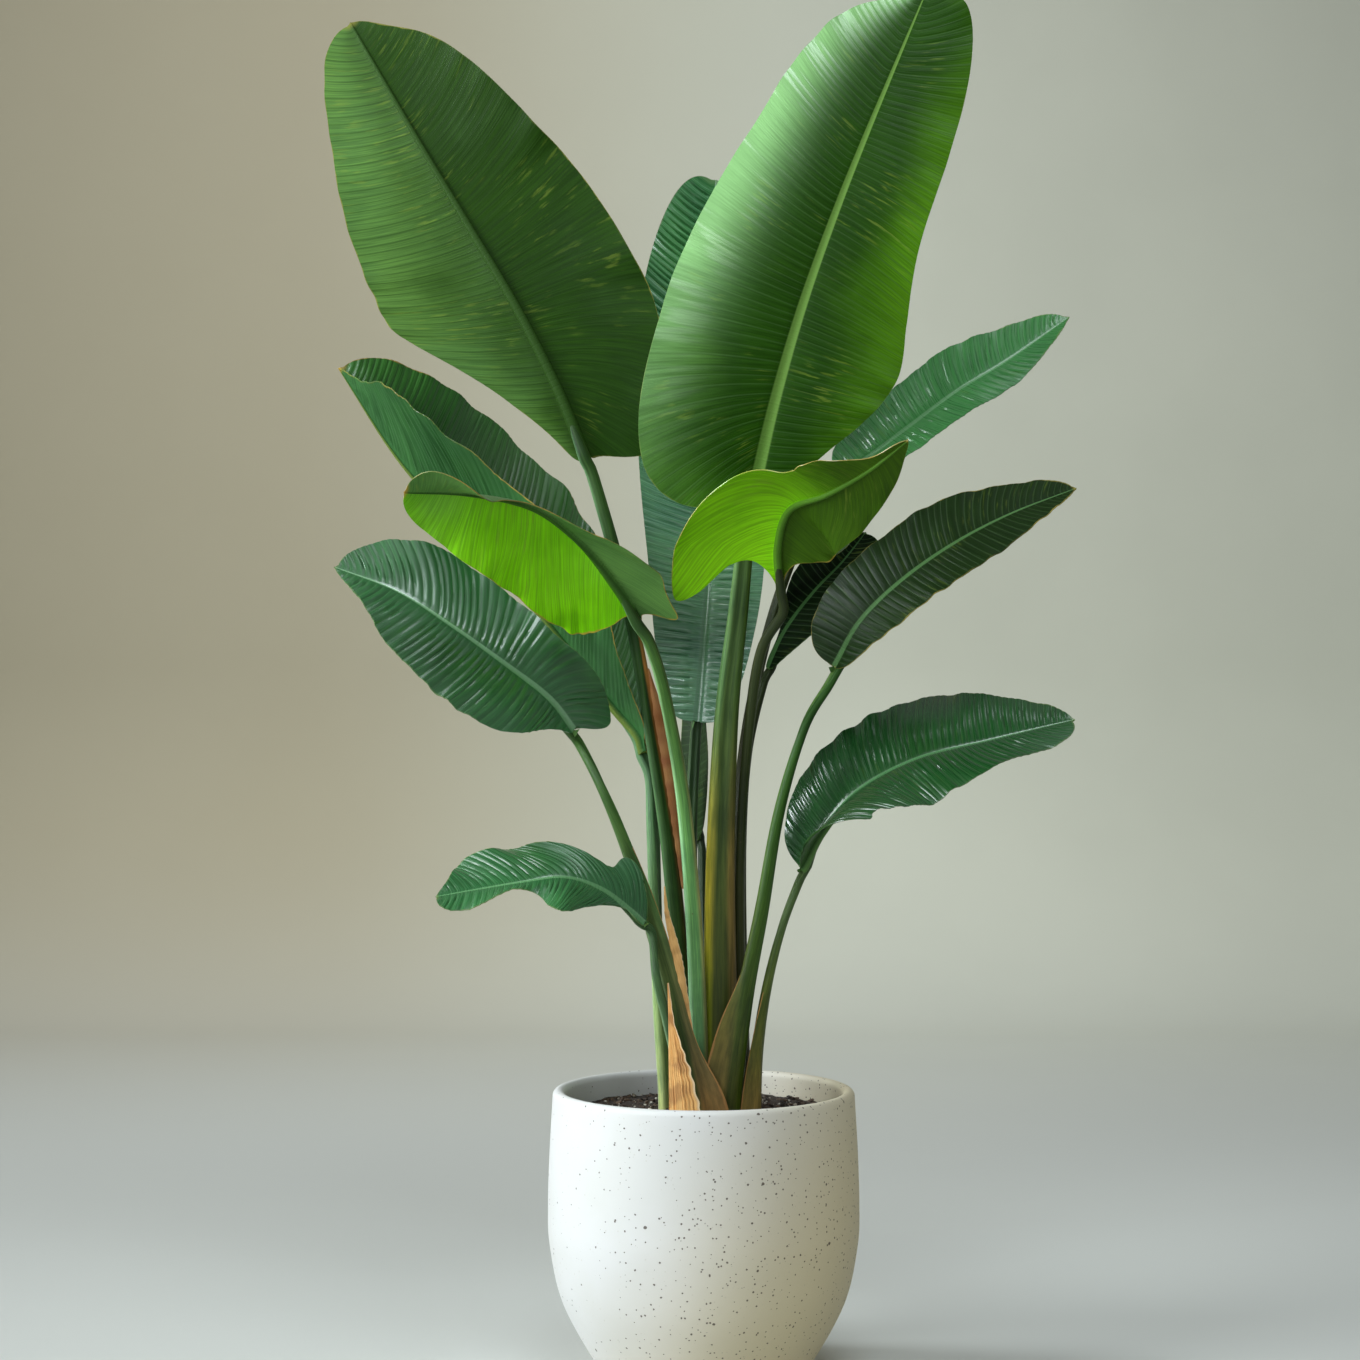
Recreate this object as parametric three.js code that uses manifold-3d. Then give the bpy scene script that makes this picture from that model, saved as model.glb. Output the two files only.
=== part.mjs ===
// A potted bird of paradise: a speckled ceramic pot, its soil, a root crown with
// thick roots, thirteen leaves (a sheathing stalk and a blade each) and one dry
// sheath. Millimetres, +Z up, origin at the centre of the pot's flat underside,
// the side that is looked at faces -Y and +X is to its right.
import * as THREE from 'three';
import { mergeVertices } from 'three/addons/utils/BufferGeometryUtils.js';
import Module from 'manifold-3d';

const wasm = await Module();
wasm.setup();

// ---- driving dimensions ----------------------------------------------------

const CLEARANCE = 0.3;           // kept between pieces that touch
const SOIL_CLEARANCE = 0.4;      // the same round the root crown and over the pot's floor
const SOIL_WALL_GAP = 0.9;       // the soil's sides keep this far from the wall's facets
const HOLE_SPARE = 0.5;          // the stalks' holes in the soil are this much wider

const POT_HEIGHT = 277;
const POT_FOOT_RADIUS = 88;      // the flat ring that the pot stands on
const POT_BELLY_RADIUS = 150;
const POT_RIM_RADIUS = 145.5;
const POT_WALL = 11.6;           // also the width of the rounded rim
const POT_FLOOR = 14;
const POT_SIDES = 40;

const SOIL_LEVEL = 253;          // 24 mm under the rim
const SOIL_CROWN = 3;            // the soil rises this much towards the stalks
const CROWN_TOP = 210;           // the stalks stand on the root crown here
const CROWN_RADIUS = 62;
const CROWN_HEIGHT = 52;
const ROOT_COUNT = 7;
const ROOT_RADIUS = 6.5;

const SHEATH_MIDDLE = [-12, -30];  // the dry sheath bends round this point
const SHEATH_RADIUS = 30;
const SHEATH_TOP = 345;
const SHEATH_THICKNESS = 1.6;

const BLADE_THICKNESS = 0.9;
const BLADE_COLUMNS = [0.25, 0.52, 0.78, 1];   // across each half, from the midrib's side to the margin
const STALK_SIDES = 10;

// ---- small helpers ---------------------------------------------------------

const vec = ([x, y, z]) => new THREE.Vector3(x, y, z);
const radians = THREE.MathUtils.degToRad;

// a smooth line through evenly spaced values; t runs from 0 to 1
function between(values, t) {
  const last = values.length - 1;
  const place = THREE.MathUtils.clamp(t, 0, 1) * last;
  const k = Math.min(Math.floor(place), last - 1);
  const f = place - k;
  const rise = (i) => (i > 0 && i < last ? (values[i + 1] - values[i - 1]) / 2 : 0);
  const ease = f * f * (3 - 2 * f);
  return (
    values[k] * (1 - ease) + values[k + 1] * ease
    + rise(k) * f * (1 - f) ** 2 - rise(k + 1) * f ** 2 * (1 - f)
  );
}

// the same for directions
function facing(directions, t) {
  const part = (i) => between(directions.map((d) => d[i]), t);
  return new THREE.Vector3(part(0), part(1), part(2)).normalize();
}

// a smooth curve through points, read by the length along it, straight beyond its ends
function pathThrough(points) {
  const curve = new THREE.CatmullRomCurve3(points.map(vec), false, 'catmullrom', 0.5);
  curve.arcLengthDivisions = 400;
  const length = curve.getLength();
  const at = (a) => {
    const u = THREE.MathUtils.clamp(a / length, 0, 1);
    return curve.getPointAt(u).addScaledVector(curve.getTangentAt(u), a - u * length);
  };
  const tangent = (a) => curve.getTangentAt(THREE.MathUtils.clamp(a / length, 0, 1));
  return { length, at, tangent };
}

// a closed solid from two lists: corners, and triangles as index triples
function solidFrom(corners, triangles) {
  const geometry = new THREE.BufferGeometry();
  geometry.setAttribute('position', new THREE.Float32BufferAttribute(corners.flat(), 3));
  geometry.setIndex(triangles.flat());
  return manifoldOf(geometry);
}

// any closed three.js geometry as a solid with merged corners and outward faces
function manifoldOf(geometry) {
  geometry.deleteAttribute('normal');
  geometry.deleteAttribute('uv');
  const merged = mergeVertices(geometry, 1e-3);
  const position = merged.attributes.position.array;
  const index = merged.index.array;
  const corners = [];
  for (let i = 0; i < index.length; i += 3) {
    const [a, b, c] = [index[i], index[i + 1], index[i + 2]];
    if (a !== b && b !== c && c !== a) corners.push([a, b, c]);
  }
  const p = (i) => new THREE.Vector3().fromArray(position, 3 * i);
  const volume = corners.reduce((sum, [a, b, c]) => sum + p(a).dot(p(b).cross(p(c))), 0);
  const outward = volume > 0 ? corners : corners.map(([a, b, c]) => [a, c, b]);
  const mesh = new wasm.Mesh({
    numProp: 3,
    vertProperties: Float32Array.from(position),
    triVerts: Uint32Array.from(outward.flat()),
  });
  return new wasm.Manifold(mesh);
}

// the largest body of a solid, as a geometry
function geometryOf(solid) {
  const body = solid.decompose().sort((a, b) => b.volume() - a.volume())[0];
  const mesh = body.getMesh();
  const geometry = new THREE.BufferGeometry();
  geometry.setAttribute('position', new THREE.BufferAttribute(mesh.vertProperties, 3));
  geometry.setIndex(new THREE.BufferAttribute(mesh.triVerts, 1));
  geometry.computeVertexNormals();
  return geometry;
}

// the triangles of a flat ring's own plane, wound as the ring is
function cap(ring) {
  const across = ring[1].clone().sub(ring[0]).normalize();
  const normal = new THREE.Vector3();
  ring.forEach((p, i) => normal.add(p.clone().cross(ring[(i + 1) % ring.length])));
  const up = normal.normalize().clone().cross(across);
  const flat = ring.map((p) => new THREE.Vector2(p.dot(across), p.dot(up)));
  return THREE.ShapeUtils.triangulateShape(flat, []);
}

// rings of equal size joined into one closed tube with flat ends
function loft(rings) {
  const n = rings[0].length;
  const corners = rings.flat().map((p) => p.toArray());
  const triangles = [];
  for (let r = 0; r < rings.length - 1; r += 1) {
    for (let i = 0; i < n; i += 1) {
      const [a, b] = [r * n + i, r * n + ((i + 1) % n)];
      triangles.push([a, b, b + n], [a, b + n, a + n]);
    }
  }
  const last = (rings.length - 1) * n;
  cap(rings[0]).forEach(([a, b, c]) => triangles.push([a, c, b]));
  cap(rings.at(-1)).forEach(([a, b, c]) => triangles.push([a + last, b + last, c + last]));
  return solidFrom(corners, triangles);
}

// a profile of [radius, height] pairs turned round the pot's axis
function turned(profile, sides) {
  const points = profile.map(([r, z]) => new THREE.Vector2(r, z));
  return manifoldOf(new THREE.LatheGeometry(points, sides).rotateX(Math.PI / 2));
}

const curved = (points, count) => new THREE.SplineCurve(
  points.map(([r, z]) => new THREE.Vector2(r, z)),
).getPoints(count).map((p) => [p.x, p.y]);

// ---- pot and soil ----------------------------------------------------------

const RIM_ROUND = POT_WALL / 2;
const RIM_MIDDLE = POT_RIM_RADIUS - RIM_ROUND;

const innerWall = [
  [POT_RIM_RADIUS - POT_WALL, POT_HEIGHT - RIM_ROUND],
  [POT_RIM_RADIUS - POT_WALL + 0.5, SOIL_LEVEL],
  [POT_BELLY_RADIUS - POT_WALL, 165],
  [131, 100],
  [112, 52],
  [84, POT_FLOOR + 6],
  [70, POT_FLOOR],
];

function pot() {
  const outside = curved([
    [POT_FOOT_RADIUS, 0],
    [104, 15],
    [136, 73],
    [POT_BELLY_RADIUS - 1.5, 128],
    [POT_BELLY_RADIUS, 168],
    [POT_BELLY_RADIUS - 1.5, 218],
    [POT_RIM_RADIUS, POT_HEIGHT - RIM_ROUND],
  ], 10);
  const rim = [0.25, 0.5, 0.75].map((turn) => [
    RIM_MIDDLE + RIM_ROUND * Math.cos(turn * Math.PI),
    POT_HEIGHT - RIM_ROUND + RIM_ROUND * Math.sin(turn * Math.PI),
  ]);
  return turned([[0, 0], ...outside, ...rim, ...innerWall, [0, POT_FLOOR]], POT_SIDES);
}

function soil(holes) {
  const wall = innerWall.slice(1).reverse()
    .map(([r, z], i) => [r - SOIL_WALL_GAP, z + (i === 0 ? SOIL_CLEARANCE : 0)]);
  const floor = POT_FLOOR + SOIL_CLEARANCE;
  const top = SOIL_LEVEL + SOIL_CROWN;
  const body = turned([[0, floor], ...wall, [CROWN_RADIUS, top], [0, top]], POT_SIDES);
  return holes.reduce((left, hole) => left.subtract(hole), body);
}

// ---- root crown ------------------------------------------------------------

// one thick root, out and down from the crown, with its tip in the soil
function root(turn, drop, grow) {
  const [out, up] = [Math.cos(turn), Math.sin(turn)];
  const reach = [30, 62, 84, 96];
  const depths = [CROWN_TOP - 30, CROWN_TOP - 44, CROWN_TOP - 84, CROWN_TOP - 84 - drop];
  const path = pathThrough(reach.map((r, i) => [r * out, r * up, depths[i]]));
  const rings = [0, 0.3, 0.6, 0.85, 1].map((t) => {
    const along = path.tangent(t * path.length);
    const side = new THREE.Vector3(-up, out, 0);
    const top = side.clone().cross(along);
    const radius = ROOT_RADIUS * (1 - 0.6 * t) + grow;
    return [0, 1, 2, 3, 4].map((k) => path.at(t * path.length + (t === 1 ? grow : 0))
      .addScaledVector(side, radius * Math.cos((k / 5) * 2 * Math.PI))
      .addScaledVector(top, radius * Math.sin((k / 5) * 2 * Math.PI)));
  });
  return loft(rings);
}

// the short thick stem: flat on top where the stalks stand, rounded below
function rootCrown(grow) {
  const top = CROWN_TOP - SOIL_CLEARANCE + 0.75 * grow;
  const body = turned([
    [0, CROWN_TOP - CROWN_HEIGHT - grow],
    [34 + grow, CROWN_TOP - CROWN_HEIGHT + 6 - grow],
    [CROWN_RADIUS - 8 + grow, CROWN_TOP - 26],
    [CROWN_RADIUS + grow, CROWN_TOP - 8],
    [CROWN_RADIUS - 2 + grow, top],
    [0, top],
  ], 20);
  const turns = Array.from({ length: ROOT_COUNT }, (_, i) => (i / ROOT_COUNT) * 2 * Math.PI + 0.3);
  return turns.reduce((all, turn, i) => all.add(root(turn, 16 + 9 * (i % 3), grow)), body);
}

// ---- blades ----------------------------------------------------------------

// half the blade's width at t along the midrib, as a share of its widest half
function spread(leaf, t, side) {
  const s = THREE.MathUtils.clamp(t, 0.004, 0.996);
  const power = leaf.blunt * (1 - s) + leaf.point * s;
  return Math.sin(Math.PI * s ** leaf.skew) ** power * between(leaf.form[side], s);
}

// a point of the upper face: t along the midrib, d mm out from it; side 0 is the left half
// and side 1 the right half, as seen on the upper face with the tip up
function bladePoint(leaf, rib, t, d, side) {
  const clear = Math.max(0, d - leaf.ribWidth / 2);
  const along = t * rib.length + clear * Math.tan(radians(between(leaf.sweep[side], t)));
  const share = THREE.MathUtils.clamp(along / rib.length, 0, 1);
  const forward = rib.tangent(along);
  const up = facing(leaf.face, share);
  up.addScaledVector(forward, -up.dot(forward)).normalize();
  const across = forward.clone().cross(up).multiplyScalar(side ? 1 : -1);
  // each half leaves the midrib at its fold and bends on as an arc
  const fold = radians(between(leaf.fold[side], share));
  const bend = radians(between(leaf.curl[side], share)) / leaf.halfWidth[side] || 1e-6;
  const out = (Math.sin(fold + bend * d) - Math.sin(fold)) / bend;
  let lift = (Math.cos(fold) - Math.cos(fold + bend * d)) / bend;
  const [height, count, phase] = leaf.wave;
  const reach = d / Math.max(leaf.halfWidth[side] * spread(leaf, t, side), 1);
  lift += height * Math.min(reach, 1) ** 2 * Math.sqrt(Math.sin(Math.PI * t))
    * Math.sin(2 * Math.PI * (count * t + phase) + (side ? 1.7 : 0));
  return rib.at(along).addScaledVector(across, out).addScaledVector(up, lift);
}

// the blade as one thin closed solid, thicker under the midrib; its rows lie closer
// together at the rounded base and at the tip
function blade(leaf) {
  const rib = pathThrough(leaf.rib);
  const halves = BLADE_COLUMNS.length;
  const columns = 2 * halves + 3;
  const rows = leaf.rows + 1;
  const grid = [];
  const depths = [];
  for (let r = 0; r < rows; r += 1) {
    const s = r / (rows - 1);
    const t = s - 0.1 * Math.sin(2 * Math.PI * s);
    const ribHalf = leaf.ribWidth * 0.5 * (1 - t) ** 0.8 + 0.5;
    const line = [0, 1].map((side) => {
      const width = leaf.halfWidth[side] * spread(leaf, t, side);
      const near = Math.min(ribHalf, 0.3 * width);
      return [near, ...BLADE_COLUMNS.map((share) => near + (width - near) * share)]
        .map((d) => bladePoint(leaf, rib, t, d, side));
    });
    grid.push([...line[0].reverse(), bladePoint(leaf, rib, t, 0, 1), ...line[1]]);
    const underRib = BLADE_THICKNESS + 1.5 * ribHalf;
    depths.push(grid[r].map((_, c) => (c === halves + 1 ? underRib : BLADE_THICKNESS)));
  }
  const normalAt = (r, c) => {
    const pick = (i, j) => grid[Math.min(Math.max(i, 0), rows - 1)][Math.min(Math.max(j, 0), columns - 1)];
    const ahead = pick(r + 1, c).clone().sub(pick(r - 1, c));
    const right = pick(r, c + 1).clone().sub(pick(r, c - 1));
    return right.cross(ahead).normalize();
  };
  const upper = grid.flat();
  const lower = grid.flatMap((line, r) => line.map(
    (p, c) => p.clone().addScaledVector(normalAt(r, c), -depths[r][c]),
  ));
  const under = rows * columns;
  const triangles = [];
  for (let r = 0; r < rows - 1; r += 1) {
    for (let c = 0; c < columns - 1; c += 1) {
      const a = r * columns + c;
      const quad = c < halves + 1
        ? [[a, a + 1, a + columns], [a + 1, a + columns + 1, a + columns]]
        : [[a, a + 1, a + columns + 1], [a, a + columns + 1, a + columns]];
      quad.forEach(([p, q, s]) => triangles.push([p, q, s], [p + under, s + under, q + under]));
    }
  }
  const border = [
    ...Array.from({ length: columns - 1 }, (_, c) => c),
    ...Array.from({ length: rows - 1 }, (_, r) => r * columns + columns - 1),
    ...Array.from({ length: columns - 1 }, (_, c) => rows * columns - 1 - c),
    ...Array.from({ length: rows - 1 }, (_, r) => (rows - 1 - r) * columns),
  ];
  border.forEach((a, i) => {
    const b = border[(i + 1) % border.length];
    triangles.push([b, a, a + under], [b, a + under, b + under]);
  });
  return solidFrom([...upper, ...lower].map((p) => p.toArray()), triangles);
}

// ---- stalks ----------------------------------------------------------------

// the stalk from the root crown up to the blade: an oval that gets rounder and slimmer
// upwards, with a thin clasping wing on either side near its foot; grow widens it all
// round, for its hole in the soil and for the room that its neighbours leave
function stalk(leaf, grow = 0) {
  const rib = pathThrough(leaf.rib);
  const ahead = rib.tangent(0);
  const under = facing(leaf.face, 0).negate();
  under.addScaledVector(ahead, -under.dot(ahead)).normalize();
  const seat = rib.at(-1.3 * CLEARANCE).addScaledVector(under, leaf.top + BLADE_THICKNESS + CLEARANCE);
  const before = seat.clone().addScaledVector(ahead, -4 * leaf.top);
  const path = pathThrough([...leaf.stalk, before.toArray(), seat.toArray()]);
  const foot = new THREE.Vector3(...leaf.outward, 0);
  const { wings = [[0, 0], [0, 0]], wrap: bow = 60, stalkRows: count } = leaf;
  const rings = Array.from({ length: count + 1 }, (_, r) => {
    const t = r / count;
    const a = t * path.length;
    const up = path.tangent(a);
    const out = foot.clone().lerp(under, t ** 3);
    out.addScaledVector(up, -out.dot(up)).normalize();
    const right = up.clone().cross(out);
    const slim = (1 - t) ** leaf.slim;
    const halfWidth = leaf.top + (leaf.foot[0] - leaf.top) * slim + grow;
    const halfDepth = leaf.top + (leaf.foot[1] - leaf.top) * slim + grow;
    const [wingRight, wingLeft] = wings.map((lengths) => Math.max(0, between(lengths, t)));
    const shift = grow * (r === 0 ? -1 : 0) + grow * (r === count ? 1 : 0);
    return Array.from({ length: STALK_SIDES }, (_, k) => {
      const angle = (k / STALK_SIDES) * 2 * Math.PI;
      const wing = { 0: wingRight, [STALK_SIDES / 2]: -wingLeft }[k] ?? 0;
      const longer = 5 * grow * Math.sign(wing);
      const wrap = (wing * (wing + longer)) / bow;
      return path.at(a).addScaledVector(up, shift)
        .addScaledVector(right, halfWidth * Math.cos(angle) + wing + longer)
        .addScaledVector(out, halfDepth * Math.sin(angle) - wrap);
    });
  });
  return loft(rings);
}

// ---- dry sheath ------------------------------------------------------------

// a papery strip bent round the front of the clump, pointed at its top
function drySheath(grow = 0) {
  const [centreX, centreY] = SHEATH_MIDDLE;
  const [bottom, thickness] = [CROWN_TOP - grow, SHEATH_THICKNESS + 2 * grow];
  const spare = grow / SHEATH_RADIUS;
  const rings = [0, 0.2, 0.4, 0.6, 0.8, 1].map((t) => {
    const z = bottom + (SHEATH_TOP - bottom) * t;
    const from = radians(226 + 6 * t) - spare;
    const to = radians(300 - 56 * t ** 1.6) + spare;
    const angles = [0, 0.25, 0.5, 0.75, 1].map((s) => from + (to - from) * s);
    const arc = (r, list) => list.map((g) => new THREE.Vector3(
      centreX + r * Math.cos(g), centreY + r * Math.sin(g), z,
    ));
    const radius = SHEATH_RADIUS + 6 * t;
    return [...arc(radius + thickness / 2, angles), ...arc(radius - thickness / 2, [...angles].reverse())];
  });
  return loft(rings);
}

// ---- the leaves ------------------------------------------------------------

// For each leaf:
//   rib        the midrib's line on the upper face, from the stalk to the tip
//   face       the way the upper face looks, at the base, the middle and the tip
//   halfWidth  of the left and right half at their widest; form shapes each half's margin
//   fold, curl degrees up from the flat at the midrib, and on to the margin
//   sweep      degrees that the side veins lean to the tip; wave is height, count, phase
//   stalk      its middle line from the root crown up; outward is the foot's outer side, foot its
//              half width and half depth there, top its radius at the blade, wings the lengths of
//              the sheath's two margins from the foot up
const LEAVES = {
  // the big blade at the upper left, its underside to the front
  tall_left: {
    rib: [
      [-113, 8, 884], [-141, 2, 953], [-181, 0, 1032],
      [-228, 4, 1112], [-280, 12, 1200], [-344, 30, 1312],
    ],
    face: [[0.15, 1, 0.1], [0.2, 1, 0.12], [0.15, 1, 0.3]],
    halfWidth: [120, 116], skew: 0.8, blunt: 0.36, point: 0.62,
    form: [
      [0.16, 0.86, 1.04, 1.0, 0.92, 0.89, 0.84, 0.65],
      [0.26, 0.56, 1.02, 1.0, 0.95, 0.91, 0.89, 0.92],
    ],
    fold: [[6, 8, 4], [6, 8, 4]], curl: [[-10, -8, -20], [-25, -30, -20]],
    sweep: [[-60, -24, 12, 24, 22], [16, 28, 17, 23, 36]],
    wave: [4, 2.5, 0.1], green: 'mid', rows: 15, ribWidth: 11,
    stalk: [[-17, 8, 210], [-18, 8, 270], [-22, 4, 381], [-33, 3, 507], [-52, 3, 632], [-73, 4, 745]],
    outward: [-0.5, 1], foot: [10.5, 8.5], top: 6, slim: 1.2, stalkRows: 12,
  },
  // the big blade at the upper right, its upper face to the front
  tall_right: {
    rib: [
      [48, -62, 854], [66, -75, 932], [90, -84, 1016],
      [118, -88, 1096], [151, -86, 1180], [209, -70, 1319],
    ],
    face: [[0.05, -1, 0.1], [0, -1, 0.12], [-0.1, -1, 0.2]],
    halfWidth: [146, 100], skew: 0.74, blunt: 0.38, point: 0.62,
    form: [
      [0.39, 0.9, 0.89, 0.81, 0.75, 0.76, 0.75, 0.53],
      [0.73, 0.97, 1.08, 0.99, 0.91, 1.02, 1.21, 1.36],
    ],
    fold: [[10, 8, 4], [10, 8, 4]], curl: [[-30, -30, -15], [-12, -20, -15]],
    sweep: [[-57, -8, 18, 30, 34], [14, -3, -16, 4, 46]],
    wave: [4, 2.5, 0.4], green: 'fresh', rows: 15, ribWidth: 13,
    stalk: [[17, 2, 210], [17, 2, 270], [16, -4, 373], [16, -12, 498], [21.5, -22, 633], [33, -36, 740]],
    outward: [0, 1], foot: [18.5, 10.5], top: 6.4, slim: 0.8, stalkRows: 12,
  },
  // the narrow upright blade behind it
  tall_rear: {
    rib: [[-6, 72, 630], [1, 82, 711], [6, 92, 790], [4, 104, 901], [2, 112, 1032], [13, 115, 1174]],
    face: [[0, -1, 0.12], [0, -1, 0.14], [0.1, -1, 0.2]],
    halfWidth: [72, 58], skew: 0.86, blunt: 0.3, point: 0.42,
    form: [[0.75, 0.86, 0.95, 1, 1.05, 1.1], [0.95, 1, 1, 1, 0.9, 0.8]],
    fold: [[10, 14, 8], [10, 14, 8]], curl: [[-10, -10, -10], [-10, -10, -10]],
    sweep: [[-4, 26, 30], [-4, 10, 30]],
    wave: [3, 2, 0.2], green: 'deep', rows: 15, ribWidth: 9,
    stalk: [[-14, 36, 210], [-14, 36, 270], [-11, 48, 390], [-12, 62, 520]],
    outward: [-0.1, 1], foot: [9, 7], top: 5.4, slim: 1.2, stalkRows: 9,
  },
  // the long blade that arches out at the left, folded along its midrib
  long_left: {
    rib: [
      [-56, 24, 601], [-63, 28, 619], [-91, 40, 651], [-135, 54, 708],
      [-205, 66, 791], [-293, 72, 881], [-361, 78, 981],
    ],
    face: [[0.2, -0.5, 0.8], [0.25, -0.58, 0.8], [0.35, -0.6, 0.7]],
    halfWidth: [84, 112], skew: 0.75, blunt: 0.5, point: 0.7,
    form: [
      [1.2, 1.47, 1.41, 1.22, 1.36, 1.52, 1.29, 0.84],
      [0.56, 0.79, 0.98, 1.13, 1.21, 1.21, 1.19, 1.26],
    ],
    fold: [[62, 70, 60], [20, 14, 20]], curl: [[10, 10, 0], [0, -8, 0]],
    sweep: [[27, 27, 50, 42, 32], [38, 26, 22, 30, 36]],
    wave: [3, 2, 0.2], green: 'deep', rows: 14, ribWidth: 8,
    stalk: [[-39, 6, 210], [-39, 6, 270], [-44, 12, 351], [-46.5, 16, 455], [-49, 21, 530]],
    outward: [-1, 0.1], foot: [12, 6.5], top: 6.3, slim: 1.2, stalkRows: 9,
  },
  // the bright blade that comes forward at the left, its underside up
  folded_left: {
    rib: [
      [-61, -62, 726], [-81, -84, 758], [-114, -112, 799],
      [-155, -146, 829], [-210, -182, 839], [-268, -214, 838],
    ],
    face: [[0.3, 0.9, 0.2], [0.1, 0.92, 0.28], [0, 0.75, 0.6]],
    halfWidth: [64, 124], skew: 0.66, blunt: 0.42, point: 0.62,
    form: [[0.12, 0.6, 0.66, 0.76, 0.2, 0.36, 1.69, 2.5], [0.05, 0.22, 0.41, 0.58, 0.73, 0.82, 0.77, 0.67]],
    fold: [[0, -25, -62, -62, -20], [0, 0, 0]], curl: [[-10, -20, -20], [-10, -10, 0]],
    sweep: [[-60, -60, -49, -4, 21], [-60, -60, -54, -7, 25]],
    wave: [4, 2, 0.2], green: 'bright', rows: 13, ribWidth: 9,
    stalk: [
      [-4, -12, 210], [-4, -12, 270], [-6, -15, 365],
      [-11, -21, 461], [-21, -31, 566], [-38, -44, 660],
    ],
    outward: [0, -1], foot: [10, 7], top: 5.6, slim: 1.2, stalkRows: 11,
  },
  // the broad glossy blade at the lower left
  broad_left: {
    rib: [
      [-124, -30, 623], [-147, -50, 654], [-187, -68, 686],
      [-234, -78, 720], [-287, -80, 754], [-347, -72, 777],
    ],
    face: [[0.35, -0.75, 0.5], [0.25, -0.72, 0.65], [0.2, -0.7, 0.7]],
    halfWidth: [75, 100], skew: 0.7, blunt: 0.46, point: 0.74,
    form: [[0.26, 0.84, 1.04, 1.1, 1.04, 1.05, 0.9, 0.78], [0.56, 0.61, 0.58, 0.75, 0.84, 0.8, 0.83, 0.9]],
    fold: [[6, 8, 10], [24, 8, 10]], curl: [[-10, -15, -10], [-10, -15, -10]],
    sweep: [[15, 12, 12, 14, 12], [-52, -15, 24, 37, 40]],
    wave: [3, 2.5, 0.2], green: 'deep', rows: 13, ribWidth: 8,
    stalk: [
      [-9, -34, 210], [-9.2, -34, 265], [-28, -34, 358],
      [-49, -34, 433], [-71, -34, 503], [-96, -34, 566],
    ],
    outward: [0, -1], foot: [10, 7], top: 4.8, slim: 1.2,
    wings: [[26, 22, 6, 3, 5, 3, 0, 0, 0], [0, 0]], wrap: -60, stalkRows: 12,
  },
  // the blade that comes forward at the right, its lower half rolled under
  folded_right: {
    rib: [
      [73, -58, 754], [69, -78, 796], [79, -104, 830],
      [112, -134, 842], [149, -160, 862], [182, -184, 887],
    ],
    face: [[0.1, 1, 0.2], [0, 0.85, 0.55], [-0.2, 0.8, 0.6]],
    halfWidth: [88, 118], skew: 0.66, blunt: 0.42, point: 0.7,
    form: [[0.05, 0.18, 0.54, 0.66, 0.83, 0.86, 0.8, 0.56], [0.05, 0.25, 0.82, 0.8, 0.42, 0.56, 0.2, 0.31]],
    fold: [[0, 0, 0], [0, 0, 0]], curl: [[-10, -10, -10], [-20, -60, -130]],
    sweep: [[-29, -41, -45, -33, -13], [41, -33, -17, -17, -17]],
    wave: [4, 2, 0.5], green: 'bright', rows: 13, ribWidth: 8,
    stalk: [[40, 12, 210], [40, 12, 270], [34, 7, 420], [36, -2, 536], [44, -16, 633], [55, -34, 700]],
    outward: [0.95, 0.3], foot: [9, 7], top: 4.8, slim: 1.2, stalkRows: 12,
  },
  // the narrow blade at the upper right
  high_right: {
    rib: [[136, 48, 872], [167, 50, 894], [204, 52, 922], [250, 56, 956], [302, 64, 988], [363, 76, 1031]],
    face: [[-0.4, -0.6, 0.6], [-0.3, -0.7, 0.6], [-0.1, -0.7, 0.6]],
    halfWidth: [60, 38], skew: 0.74, blunt: 0.4, point: 0.8,
    form: [[1, 1, 0.9, 0.9, 0.9, 1], [1, 1, 1, 1, 0.95, 1]],
    fold: [[8, 8, 8], [8, 8, 8]], curl: [[-10, -10, -10], [-10, -10, -10]],
    sweep: [[0, 20, 40], [0, 20, 40]],
    wave: [3, 2, 0.2], green: 'mid', rows: 12, ribWidth: 7,
    stalk: [[22, 30, 210], [22, 30, 280], [28, 43, 457], [42, 53, 613], [67, 59, 729], [98, 54, 815]],
    outward: [0.5, 0.85], foot: [9, 6.5], top: 4.4, slim: 1.2, stalkRows: 13,
  },
  // the long dark blade at the right
  long_right: {
    rib: [
      [125, -12, 684], [149, -22, 727], [187, -30, 765],
      [236, -36, 800], [291, -36, 829], [355, -30, 854],
    ],
    face: [[-0.6, -0.6, 0.4], [-0.35, -0.62, 0.7], [-0.1, -0.6, 0.8]],
    halfWidth: [71, 52], skew: 0.7, blunt: 0.5, point: 0.76,
    form: [[1, 1, 0.95, 0.9, 0.9, 1], [0.8, 0.9, 1, 1, 1, 1]],
    fold: [[8, 10, 10], [8, 8, 8]], curl: [[-10, -15, -10], [-10, -15, -10]],
    sweep: [[-8, 16, 36], [14, 16, 36]],
    wave: [3, 2, 0.2], green: 'dark', rows: 13, ribWidth: 7.5,
    stalk: [
      [26, -21, 210], [26, -21, 265], [39, -22, 365],
      [55.5, -22, 451], [72.5, -19, 546], [96, -16, 625],
    ],
    outward: [0.35, -0.94], foot: [12, 7], top: 4.8, slim: 1.6,
    wings: [[0, 0], [4, 18, 14, 0, 0, 0, 0, 0, 0]], wrap: 120, stalkRows: 13,
  },
  // the short dark blade behind it
  inner_right: {
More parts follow.
